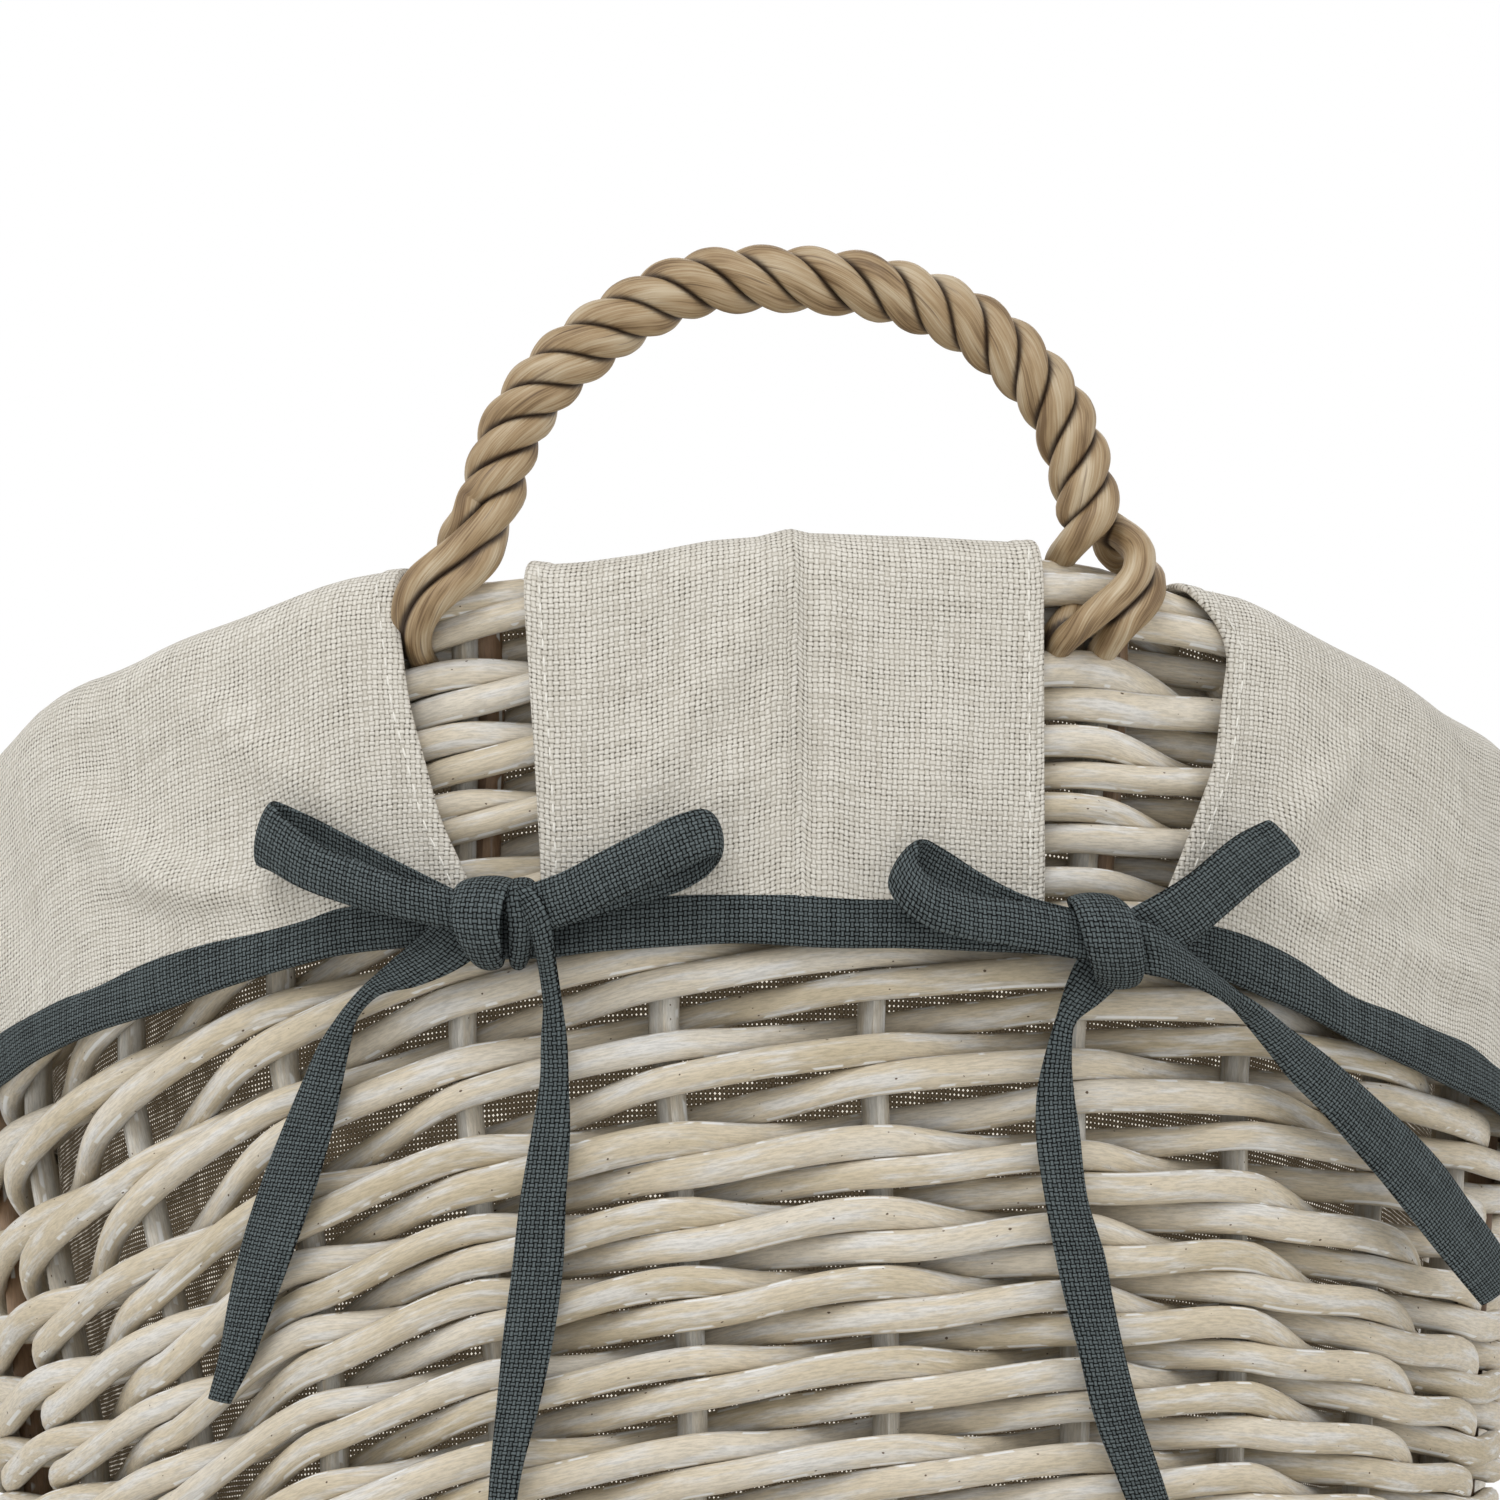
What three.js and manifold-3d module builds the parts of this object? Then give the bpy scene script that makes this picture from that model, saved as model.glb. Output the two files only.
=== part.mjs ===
// Oval storage basket of whitewashed willow, with a twisted rope handle at each end
// and a linen-look liner that is turned over the rim and tied round the handles.
//
// Millimetres, +Z up. The origin is the middle of the footprint, on the floor.
// The long way of the oval is along Y, so the handles stand at -Y and +Y.

import * as THREE from 'three';
import { mergeVertices } from 'three/addons/utils/BufferGeometryUtils.js';
import Module from 'manifold-3d';

// Oval plan, taken at the stakes' centre line.
const RIM_HALF_WIDTH = 190;
const RIM_HALF_LENGTH = 212;
const BASE_HALF_WIDTH = 170;
const BASE_HALF_LENGTH = 186;
const PLAN_POWER = 2.3;

// Height of the rim at the handle ends and at the middle of the long sides.
const END_HEIGHT = 262;
const SIDE_HEIGHT = 220;
const SADDLE_POWER = 2;

// Willow frame and weave.
const STAKE_COUNT = 28;
const STAKE_DIAMETER = 6.4;
const STAKE_SIDES = 8;
const WEAVER_DIAMETER = 7;
const ROD_MIDDLE = 0.6;
const ROW_COUNT = 13;
const ROW_WAIST = 1.6;
const FOOT_HEIGHT = 16;
const FOOT_INNER = 11;
const FOOT_OUTER = 11;
const FOOT_SOLE = 7;
const FOOT_CHAMFER = 2;
const FOOT_BELLY_LOW = 0.3;
const FOOT_BELLY_HIGH = 0.7;
const BASE_THICKNESS = 9;
const BASE_LIFT = 4;
const BORDER_HEIGHT = 17;
const BORDER_INNER = 11;
const BORDER_OUTER = 12;
const BORDER_ROUND = 5;
const BORDER_GROOVE = 1.8;
const BORDER_LOWER_ROD = 0.72;
const BORDER_ROD_SEAM = 0.48;
const BORDER_UPPER_ROD = 0.24;

// Rope handle: three strands twisted together, drawn here as one round tube.
const ROPE_DIAMETER = 14.4;
const ROPE_SIDES = 12;
const ROPE_STEPS = 26;
const ARCH_POINTS = 10;
const HANDLE_RISE = 67;
const HANDLE_LEAN = 6;
const HANDLE_NECK_SPAN = 128;
const HANDLE_NECK_RISE = 12;
const HANDLE_NECK_OUT = 8;
// Each foot as [half the span, drop below the rim] where it stands in front of the border.
const HANDLE_FOOT = [[72.5, 19], [71.6, 10], [70, 1.5]];

// Liner cloth, its turned-over cuffs and their slits at the handles.
const CLOTH = 1.8;
const LINER_TOP_DROP = 4;
const CUFF_DROP = 73;
const CUFF_CROWN = 0.6;
// Edges of the cuffs at one end of the basket as [drop below the rim, place along the rim].
const FLAP_LEFT_EDGE = [[2, -53.6], [67, -50.6]];
const FLAP_RIGHT_EDGE = [[2, 52.4], [67, 54.5]];
const LEFT_SIDE_EDGE = [[0, -80.2], [28, -77.6], [54, -71.6], [73, -64]];
const RIGHT_SIDE_EDGE = [[0, 84], [11, 91.5], [36, 91.5], [66, 81.5], [73, 79]];
const FOLD_DEPTH = 1.4;
const FOLD_COUNT = 14;

// Tape bound along the cuffs' lower edges, and the bows tied from its ends.
const TAPE_WIDTH = 11;
const TAPE_THICKNESS = 2.6;
const BOW_PLACE = 63;
const KNOT_WIDTH = 20;
const KNOT_HEIGHT = 17;
const KNOT_DEPTH = 9;
const TIE_WIDTH = 9.5;
const TIE_THICKNESS = 1.2;
const LOOP_BULGE = 8;
const LOOP_STEPS = 10;
const TAIL_SETTLE = 3;
const KNOT_SEAT = 0.72;

// Clearances: between pieces that touch, and between the rods and the stakes they bear on.
const TOUCH = 0.3;
const ROD_PLAY = 0.6;

const WILLOW = new THREE.MeshStandardMaterial({ color: 0xc4bbaa, roughness: 0.72, metalness: 0 });
const ROPE = new THREE.MeshStandardMaterial({ color: 0xa6907a, roughness: 0.6, metalness: 0 });
const LINEN = new THREE.MeshStandardMaterial({ color: 0xc7c2b8, roughness: 0.9, metalness: 0 });
const TAPE = new THREE.MeshStandardMaterial({ color: 0x3f4546, roughness: 0.85, metalness: 0 });

const wasm = await Module();
wasm.setup();

const basket = new THREE.Group();

// The plan is walked in equal steps of arc, two for each stake, so that every ring of
// the basket has its corners at the same places and neighbouring rings stay parallel.
const PLAN_SIDES = STAKE_COUNT * 2;
const ARC_SAMPLES = 4096;

function ovalPoint(angle, halfWidth, halfLength) {
  const across = Math.abs(Math.sin(angle) / halfWidth) ** PLAN_POWER;
  const along = Math.abs(Math.cos(angle) / halfLength) ** PLAN_POWER;
  const reach = (across + along) ** (-1 / PLAN_POWER);
  return new THREE.Vector2(reach * Math.sin(angle), -reach * Math.cos(angle));
}

function ovalCorners(halfWidth, halfLength) {
  const points = [];
  const arcs = [0];
  for (let i = 0; i <= ARC_SAMPLES; i += 1) {
    points.push(ovalPoint((2 * Math.PI * i) / ARC_SAMPLES, halfWidth, halfLength));
    if (i > 0) arcs.push(arcs[i - 1] + points[i].distanceTo(points[i - 1]));
  }
  const perimeter = arcs[ARC_SAMPLES];
  const corners = [];
  let sample = 0;
  for (let k = 0; k < PLAN_SIDES; k += 1) {
    const wanted = (perimeter * k) / PLAN_SIDES;
    while (arcs[sample + 1] < wanted) sample += 1;
    const share = (wanted - arcs[sample]) / (arcs[sample + 1] - arcs[sample]);
    corners.push(points[sample].clone().lerp(points[sample + 1], share));
  }
  return { corners, perimeter };
}

const rim = ovalCorners(RIM_HALF_WIDTH, RIM_HALF_LENGTH);
const foot = ovalCorners(BASE_HALF_WIDTH, BASE_HALF_LENGTH);

function cornerIndex(k) {
  return ((k % PLAN_SIDES) + PLAN_SIDES) % PLAN_SIDES;
}

// Outward direction at a corner: square to the chord between its two neighbours.
function cornerOut(corners, k) {
  const chord = corners[cornerIndex(k + 1)].clone().sub(corners[cornerIndex(k - 1)]);
  return new THREE.Vector2(chord.y, -chord.x).normalize();
}

function rimHeight(k) {
  const along = Math.abs(rim.corners[cornerIndex(k)].y) / RIM_HALF_LENGTH;
  return SIDE_HEIGHT + (END_HEIGHT - SIDE_HEIGHT) * along ** SADDLE_POWER;
}

// A point of the flared wall above one corner. level is 0 on the floor and 1 at the rim,
// and out is how far the point stands outside the stakes' centre line.
function wallCorner(k, level, out) {
  const low = foot.corners[cornerIndex(k)];
  const high = rim.corners[cornerIndex(k)];
  const outward = cornerOut(foot.corners, k).lerp(cornerOut(rim.corners, k), level).normalize();
  const plan = low.clone().lerp(high, level).addScaledVector(outward, out);
  return new THREE.Vector3(plan.x, plan.y, level * rimHeight(k));
}

// The same by a share of the woven height, from 0 on the foot wale to 1 below the border.
function wallShare(k, share, out) {
  const low = FOOT_HEIGHT + TOUCH;
  const high = rimHeight(k) - BORDER_HEIGHT - TOUCH;
  return wallCorner(k, THREE.MathUtils.lerp(low, high, share) / rimHeight(k), out);
}

// The same by a drop below the rim, in millimetres, at any place round the rim. turn is
// counted in corners from the middle of the -Y end; between corners the wall is flat.
function wallDrop(turn, drop, out) {
  const k = Math.floor(turn);
  const before = wallCorner(k, 1 - drop / rimHeight(k), out);
  const after = wallCorner(k + 1, 1 - drop / rimHeight(k + 1), out);
  return before.lerp(after, turn - k);
}

const CORNER_STEP = rim.perimeter / PLAN_SIDES;

// The corners strictly between two places round the rim, all in millimetres.
function cornersBetween(start, end) {
  const places = [];
  for (let k = Math.floor(start / CORNER_STEP) + 1; k * CORNER_STEP < end; k += 1) {
    places.push(k * CORNER_STEP);
  }
  return places;
}

function addMesh(name, geometry, material) {
  const mesh = new THREE.Mesh(geometry, material);
  mesh.name = name;
  basket.add(mesh);
  return mesh;
}

function mergedPositions(geometry) {
  const bare = geometry.clone();
  bare.deleteAttribute('normal');
  bare.deleteAttribute('uv');
  return mergeVertices(bare, 1e-4);
}

// Turns all the faces over if the closed surface encloses a negative volume.
function facedOutwards(geometry) {
  const place = geometry.getAttribute('position');
  const index = geometry.getIndex().array;
  const [a, b, c] = [new THREE.Vector3(), new THREE.Vector3(), new THREE.Vector3()];
  let volume = 0;
  for (let i = 0; i < index.length; i += 3) {
    a.fromBufferAttribute(place, index[i]);
    b.fromBufferAttribute(place, index[i + 1]);
    c.fromBufferAttribute(place, index[i + 2]);
    volume += a.dot(b.cross(c));
  }
  if (volume < 0) {
    for (let i = 0; i < index.length; i += 3) {
      [index[i + 1], index[i + 2]] = [index[i + 2], index[i + 1]];
    }
  }
  geometry.computeVertexNormals();
  return geometry;
}

// Skins a row of like sections. Each section is a list of points, in the order of the
// flat outline that caps the two ends; a closed ring of sections has no caps.
function skinSections(sections, outline) {
  const count = sections[0].length;
  const closed = outline === null;
  const positions = sections.flat().flatMap((point) => point.toArray());
  const index = [];
  const spans = closed ? sections.length : sections.length - 1;
  for (let i = 0; i < spans; i += 1) {
    const here = i * count;
    const next = ((i + 1) % sections.length) * count;
    for (let j = 0; j < count; j += 1) {
      const after = (j + 1) % count;
      index.push(here + j, next + j, next + after);
      index.push(here + j, next + after, here + after);
    }
  }
  if (!closed) {
    const last = (sections.length - 1) * count;
    const turned = THREE.ShapeUtils.isClockWise(outline);
    for (const triangle of THREE.ShapeUtils.triangulateShape(outline, [])) {
      const [a, b, c] = turned ? [...triangle].reverse() : triangle;
      index.push(a, b, c);
      index.push(last + a, last + c, last + b);
    }
  }
  const geometry = new THREE.BufferGeometry();
  geometry.setAttribute('position', new THREE.Float32BufferAttribute(positions, 3));
  geometry.setIndex(index);
  return geometry;
}

// A ring all round the basket from a section of [out, share] pairs.
function shareRing(section) {
  const sections = [];
  for (let k = 0; k < PLAN_SIDES; k += 1) {
    sections.push(section.map(([out, share]) => wallShare(k, share, out)));
  }
  return facedOutwards(skinSections(sections, null));
}

// A ring all round the basket from a section of [out, drop] pairs.
function dropRing(section) {
  const sections = [];
  for (let k = 0; k < PLAN_SIDES; k += 1) {
    sections.push(section.map(([out, drop]) => wallDrop(k, drop, out)));
  }
  return facedOutwards(skinSections(sections, null));
}

// Base: the woven oval mat, and the foot wale round it that the basket stands on.
function footPlan(k, z, out) {
  const outward = cornerOut(foot.corners, k);
  const plan = foot.corners[cornerIndex(k)].clone().addScaledVector(outward, out);
  return new THREE.Vector3(plan.x, plan.y, z);
}

function footWale() {
  const section = [
    [-FOOT_INNER, FOOT_CHAMFER],
    [-FOOT_SOLE, 0],
    [FOOT_SOLE, 0],
    [FOOT_OUTER, FOOT_HEIGHT * FOOT_BELLY_LOW],
    [FOOT_OUTER, FOOT_HEIGHT * FOOT_BELLY_HIGH],
    [FOOT_SOLE, FOOT_HEIGHT],
    [-FOOT_INNER, FOOT_HEIGHT],
  ];
  const sections = [];
  for (let k = 0; k < PLAN_SIDES; k += 1) {
    sections.push(section.map(([out, z]) => footPlan(k, z, out)));
  }
  return facedOutwards(skinSections(sections, null));
}

function baseMat() {
  const outline = new THREE.Shape();
  for (let k = 0; k < PLAN_SIDES; k += 1) {
    const { x, y } = footPlan(k, 0, -FOOT_INNER - TOUCH);
    if (k === 0) outline.moveTo(x, y);
    else outline.lineTo(x, y);
  }
  outline.closePath();
  const plate = new THREE.ExtrudeGeometry(outline, { depth: BASE_THICKNESS, bevelEnabled: false });
  return facedOutwards(mergedPositions(plate));
}

addMesh('foot_wale', footWale(), WILLOW);
addMesh('base_mat', baseMat(), WILLOW).position.z = BASE_LIFT;

// Stakes: straight upright rods, a half spacing to each side of the middle of each end.
const STAKE_RADIUS = STAKE_DIAMETER / 2;

function addStake(number) {
  const corner = 2 * number - 1;
  const leanAcross = (RIM_HALF_WIDTH - BASE_HALF_WIDTH) / SIDE_HEIGHT;
  const leanAlong = (RIM_HALF_LENGTH - BASE_HALF_LENGTH) / END_HEIGHT;
  const endPlay = TOUCH + STAKE_RADIUS * (leanAcross + leanAlong);
  const low = wallCorner(corner, (FOOT_HEIGHT + endPlay) / rimHeight(corner), 0);
  const high = wallCorner(corner, 1 - (BORDER_HEIGHT + endPlay) / rimHeight(corner), 0);
  const along = high.clone().sub(low);
  const rod = new THREE.CylinderGeometry(STAKE_RADIUS, STAKE_RADIUS, along.length(), STAKE_SIDES);
  const mesh = addMesh(`stake_${String(number).padStart(2, '0')}`, mergedPositions(rod), WILLOW);
  mesh.position.copy(low).lerp(high, 0.5);
  mesh.quaternion.setFromUnitVectors(new THREE.Vector3(0, 1, 0), along.normalize());
}

for (let number = 1; number <= STAKE_COUNT; number += 1) addStake(number);

// Weave: outside the stakes, rows two rods high with a slot between rows; inside them,
// the one layer where every rod passes behind.
const wovenHeight = END_HEIGHT - BORDER_HEIGHT - FOOT_HEIGHT - 2 * TOUCH;
const rodInner = STAKE_RADIUS + ROD_PLAY;
const rodOuter = rodInner + WEAVER_DIAMETER;

function weaveRow(row) {
  const middle = (row - 0.5) / ROW_COUNT;
  const rod = WEAVER_DIAMETER / wovenHeight;
  return shareRing([
    [rodInner, middle - rod],
    [rodOuter, middle - rod * ROD_MIDDLE],
    [rodOuter - ROW_WAIST, middle],
    [rodOuter, middle + rod * ROD_MIDDLE],
    [rodInner, middle + rod],
  ]);
}

for (let row = 1; row <= ROW_COUNT; row += 1) {
  addMesh(`weave_row_${String(row).padStart(2, '0')}`, weaveRow(row), WILLOW);
}

const innerFace = -STAKE_RADIUS - TOUCH - WEAVER_DIAMETER;

addMesh('inner_weave', shareRing([
  [innerFace, 0],
  [-STAKE_RADIUS - TOUCH, 0],
  [-STAKE_RADIUS - TOUCH, 1],
  [innerFace, 1],
]), WILLOW);

// Border: the stakes' ends bent down and plaited along the rim, two rods high outside.
addMesh('top_border', dropRing([
  [-BORDER_INNER, BORDER_HEIGHT - BORDER_ROUND],
  [-BORDER_INNER + BORDER_ROUND, BORDER_HEIGHT],
  [BORDER_OUTER - BORDER_ROUND, BORDER_HEIGHT],
  [BORDER_OUTER, BORDER_HEIGHT * BORDER_LOWER_ROD],
  [BORDER_OUTER - BORDER_GROOVE, BORDER_HEIGHT * BORDER_ROD_SEAM],
  [BORDER_OUTER, BORDER_HEIGHT * BORDER_UPPER_ROD],
  [BORDER_OUTER - BORDER_ROUND, 0],
  [-BORDER_INNER + BORDER_ROUND, 0],
  [-BORDER_INNER, BORDER_ROUND],
]), WILLOW);

// Handles: an arch over the border's middle, whose feet lean out over the border and pass
// down in front of it to the gap below it.
function handleTube() {
  const stand = BORDER_OUTER + TOUCH + ROPE_DIAMETER / 2;
  const foot = HANDLE_FOOT.map(([along, drop]) => wallDrop(along / CORNER_STEP, drop, stand));
  const neckTurn = HANDLE_NECK_SPAN / 2 / CORNER_STEP;
  const neck = wallDrop(neckTurn, -HANDLE_NECK_RISE, HANDLE_NECK_OUT);
  const apexHeight = END_HEIGHT + HANDLE_RISE - ROPE_DIAMETER / 2;
  const rise = apexHeight - neck.z;
  const points = [...foot];
  for (let i = 0; i <= ARCH_POINTS; i += 1) {
    const angle = (Math.PI * i) / ARCH_POINTS;
    const climb = Math.sin(angle);
    points.push(new THREE.Vector3(
      neck.x * Math.cos(angle),
      neck.y - HANDLE_LEAN * climb,
      neck.z + rise * climb,
    ));
  }
  points.push(...foot.reverse().map((spot) => spot.clone().setX(-spot.x)));
  const path = new THREE.CatmullRomCurve3(points, false, 'centripetal');
  const ring = new THREE.Shape();
  ring.absarc(0, 0, ROPE_DIAMETER / 2, 0, 2 * Math.PI, false);
  const tube = new THREE.ExtrudeGeometry(ring, {
    steps: ROPE_STEPS,
    curveSegments: ROPE_SIDES / 2,
    extrudePath: path,
    bevelEnabled: false,
  });
  return facedOutwards(mergedPositions(tube));
}

addMesh('handle_front', handleTube(), ROPE);
addMesh('handle_back', handleTube(), ROPE).rotation.z = Math.PI;

// Liner: an open bag that lies on the base mat and against the inner weave.
const bagOut = -BORDER_INNER - TOUCH - ROD_PLAY;
const bagFloor = BASE_LIFT + BASE_THICKNESS + TOUCH;

// Four rings of corners, from the underside of the floor over the top edge to its upper side.
function linerBag() {
  const corners = Array.from({ length: PLAN_SIDES }, (_, k) => k);
  const rings = [
    corners.map((k) => footPlan(k, bagFloor, bagOut)),
    corners.map((k) => wallDrop(k, LINER_TOP_DROP, bagOut)),
    corners.map((k) => wallDrop(k, LINER_TOP_DROP, bagOut - CLOTH)),
    corners.map((k) => footPlan(k, bagFloor + CLOTH, bagOut - CLOTH)),
  ];
  const outline = rings[0].map(({ x, y }) => new THREE.Vector2(x, y));
  return facedOutwards(skinSections(rings, outline));
}

addMesh('liner_bag', linerBag(), LINEN);

// Cuffs: the liner's upper part turned out over the border in four sections, one between
// the feet of each handle and one along each side, with soft upright folds.
const cuffInner = BORDER_OUTER + TOUCH;
const cuffOuter = cuffInner + CLOTH;

function foldAt(turn, drop) {
  const wave = 0.5 - 0.5 * Math.cos((2 * Math.PI * FOLD_COUNT * turn) / PLAN_SIDES);
  return FOLD_DEPTH * wave * Math.max(0, drop / CUFF_DROP);
}

// Outline of the cuff's section as [out, drop] pairs, outer face first.
function cuffSection() {
  const bagInner = bagOut - CLOTH;
  const edge = LINER_TOP_DROP - TOUCH;
  const crown = BORDER_ROUND * CUFF_CROWN;
  return [
    [cuffOuter, CUFF_DROP],
    [cuffOuter, CUFF_DROP * 0.5],
    [cuffOuter, BORDER_ROUND],
    [cuffOuter - crown, -TOUCH - CLOTH],
    [bagInner + crown, -TOUCH - CLOTH],
    [bagInner, edge],
    [bagOut, edge],
    [bagOut + crown, -TOUCH],
    [cuffInner - crown, -TOUCH],
    [cuffInner, BORDER_ROUND - CLOTH / 2],
    [cuffInner, CUFF_DROP * 0.5],
    [cuffInner, CUFF_DROP],
  ];
}

// Where an edge is at a drop below the rim, along straight lines between its points.
function edgePlace(edge, drop) {
  const level = THREE.MathUtils.clamp(drop, edge[0][0], edge.at(-1)[0]);
  const after = Math.max(1, edge.findIndex(([mark]) => mark >= level));
  const [[lowDrop, lowPlace], [highDrop, highPlace]] = [edge[after - 1], edge[after]];
  return THREE.MathUtils.mapLinear(level, lowDrop, highDrop, lowPlace, highPlace);
}

// A cuff from one edge to the other, with the section repeated at every corner between.
function cuff(startEdge, endEdge) {
  const section = cuffSection();
  const along = (edge) => ([out, drop]) => {
    const turn = edgePlace(edge, drop) / CORNER_STEP;
    return wallDrop(turn, drop, out + foldAt(turn, drop));
  };
  const upright = (place) => [[0, place], [CUFF_DROP, place]];
  const inner = cornersBetween(
    Math.max(...startEdge.map(([, place]) => place)),
    Math.min(...endEdge.map(([, place]) => place)),
  );
  const sections = [startEdge, ...inner.map(upright), endEdge].map(
    (edge) => section.map(along(edge)),
  );
  const outline = section.map(([out, drop]) => new THREE.Vector2(out, drop));
  return facedOutwards(skinSections(sections, outline));
}

const halfRim = rim.perimeter / 2;

const moved = (edge, shift) => edge.map(([drop, place]) => [drop, place + shift]);

addMesh('cuff_front', cuff(FLAP_LEFT_EDGE, FLAP_RIGHT_EDGE), LINEN);
addMesh('cuff_right', cuff(RIGHT_SIDE_EDGE, moved(LEFT_SIDE_EDGE, halfRim)), LINEN);
addMesh('cuff_back', cuff(moved(FLAP_LEFT_EDGE, halfRim), moved(FLAP_RIGHT_EDGE, halfRim)), LINEN);
addMesh('cuff_left', cuff(
  moved(RIGHT_SIDE_EDGE, halfRim),
  moved(LEFT_SIDE_EDGE, rim.perimeter),
), LINEN);

// Tapes: the binding along each hem. Its ends run on to the middle of the bows' knots.
const tapeTop = CUFF_DROP + TOUCH;
const tapeInner = cuffInner - (TAPE_THICKNESS - CLOTH) / 2;

function tape(start, end) {
  const section = [
    [tapeInner, tapeTop],
    [tapeInner, tapeTop + TAPE_WIDTH],
    [tapeInner + TAPE_THICKNESS, tapeTop + TAPE_WIDTH],
    [tapeInner + TAPE_THICKNESS, tapeTop],
  ];
  const sections = [start, ...cornersBetween(start, end), end].map((place) => {
    const turn = place / CORNER_STEP;
    return section.map(([out, drop]) => wallDrop(turn, drop, out + foldAt(turn, CUFF_DROP)));
  });
  const outline = section.map(([out, drop]) => new THREE.Vector2(out, drop));
  return facedOutwards(skinSections(sections, outline));
}

const tapeReach = BOW_PLACE - TOUCH / 2;

addMesh('tape_front', tape(-tapeReach, tapeReach), TAPE);
addMesh('tape_right', tape(2 * BOW_PLACE - tapeReach, halfRim - 2 * BOW_PLACE + tapeReach), TAPE);
addMesh('tape_back', tape(halfRim - tapeReach, halfRim + tapeReach), TAPE);
addMesh('tape_left', tape(
  halfRim + 2 * BOW_PLACE - tapeReach,
  rim.perimeter - 2 * BOW_PLACE + tapeReach,
), TAPE);

// Bows: a knot, two loops and two tails, each a flat tape that follows the wall.
// Places are [along the rim, below the knot] in millimetres, as tied in each corner, and
// where a tail hangs clear of the wall a third number says by how much.
const KNOT_DROP = tapeTop + TAPE_WIDTH / 2;
const TIE_STAND = tapeInner + TAPE_THICKNESS + FOLD_DEPTH + TOUCH + TIE_THICKNESS;
const TIE_LAY = BORDER_OUTER + TIE_THICKNESS;

const BOW_ONE = {
  loops: [[-48, -29], [46, -14]],
  tails: [
    [[-10, 6], [-24, 20], [-44, 48], [-70, 87]],
    [[9, 5], [15, 27], [12, 60], [1, 116]],
  ],
};
const BOW_TWO = {
  loops: [[-43, -9], [41, -27]],
  tails: [
    [[-5, 12], [-10, 36], [-3, 68], [16, 112]],
    [[17, 4], [40, 12, 3], [80, 30, 7], [121, 48, 13]],
  ],
};

function solidOf(geometry) {
  const plain = facedOutwards(mergedPositions(geometry));
  return new wasm.Manifold(new wasm.Mesh({
    numProp: 3,
    vertProperties: new Float32Array(plain.getAttribute('position').array),
    triVerts: new Uint32Array(plain.getIndex().array),
  }));
}

function geometryOf(solid) {
  const mesh = solid.getMesh();
  const geometry = new THREE.BufferGeometry();
  geometry.setAttribute('position', new THREE.BufferAttribute(mesh.vertProperties, 3));
  geometry.setIndex(new THREE.BufferAttribute(mesh.triVerts, 1));
  return facedOutwards(geometry);
}

// A tape along a path of [along, below, out] places round a knot. across is the unit
// [along, below] direction of the tape's width; its thickness is square to both.
function tieSolid(knotTurn, path, acrossAt) {
  const sections = path.map((place, i) => {
    const before = path[Math.max(0, i - 1)];
    const after = path[Math.min(path.length - 1, i + 1)];
    const run = new THREE.Vector3(...after).sub(new THREE.Vector3(...before)).normalize();
    const width = acrossAt(run).normalize();
    const face = run.clone().cross(width).normalize();
    const corners = [[-1, -1], [1, -1], [1, 1], [-1, 1]];
    return corners.map(([side, skin]) => {
      const spot = new THREE.Vector3(...place)
        .addScaledVector(width, (side * TIE_WIDTH) / 2)
        .addScaledVector(face, (skin * TIE_THICKNESS) / 2);
      return wallDrop(knotTurn + spot.x / CORNER_STEP, KNOT_DROP + spot.y, spot.z);
    });
  });
  const outline = [[-1, -1], [1, -1], [1, 1], [-1, 1]].map(([x, y]) => new THREE.Vector2(x, y));
  return solidOf(skinSections(sections, outline));
}

function loopPath([along, below]) {
  const stand = TIE_STAND + LOOP_BULGE / 2;
  const path = [];
  for (let i = 0; i <= LOOP_STEPS; i += 1) {
    const angle = (2 * Math.PI * i) / LOOP_STEPS;
    const reach = (1 - Math.cos(angle)) / 2;
    const bulge = -0.5 * LOOP_BULGE * Math.sin(angle) * Math.sqrt(reach);
    path.push([along * reach, below * reach, stand + bulge]);
  }
  return path;
}

function tailPath(places) {
  const knotStand = TIE_STAND + TIE_THICKNESS;
  const clear = TAPE_WIDTH + TIE_THICKNESS;
  const spots = [[0, 0], ...places].map(([x, y, away = 0]) => new THREE.Vector3(x, y, away));
  const curve = new THREE.CatmullRomCurve3(spots, false, 'catmullrom');
  return curve.getPoints(spots.length * 2).map(({ x, y, z }) => {
    const lay = THREE.MathUtils.smoothstep(y, clear, TAIL_SETTLE * clear);
    return [x, y, THREE.MathUtils.lerp(knotStand, TIE_LAY, lay) + z];
  });
}

function bow(knotPlace, form) {
  const knotTurn = knotPlace / CORNER_STEP;
  const knotShape = new THREE.IcosahedronGeometry(1, 1);
  const spots = knotShape.getAttribute('position');
  for (let i = 0; i < spots.count; i += 1) {
    const [x, y, z] = [spots.getX(i), spots.getY(i), spots.getZ(i)];
    const spot = wallDrop(
      knotTurn + (x * KNOT_WIDTH) / 2 / CORNER_STEP,
      KNOT_DROP + (y * KNOT_HEIGHT) / 2,
      TIE_STAND + ((z + KNOT_SEAT) * KNOT_DEPTH) / 2,
    );
    spots.setXYZ(i, spot.x, spot.y, spot.z);
  }
  let solid = solidOf(knotShape);
  for (const end of form.loops) {
    const length = Math.hypot(...end);
    const across = () => new THREE.Vector3(-end[1] / length, end[0] / length, 0);
    solid = solid.add(tieSolid(knotTurn, loopPath(end), across));
  }
  for (const places of form.tails) {
    const across = (run) => new THREE.Vector3(-run.y, run.x, 0);
    solid = solid.add(tieSolid(knotTurn, tailPath(places), across));
  }
  return geometryOf(solid);
}

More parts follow.
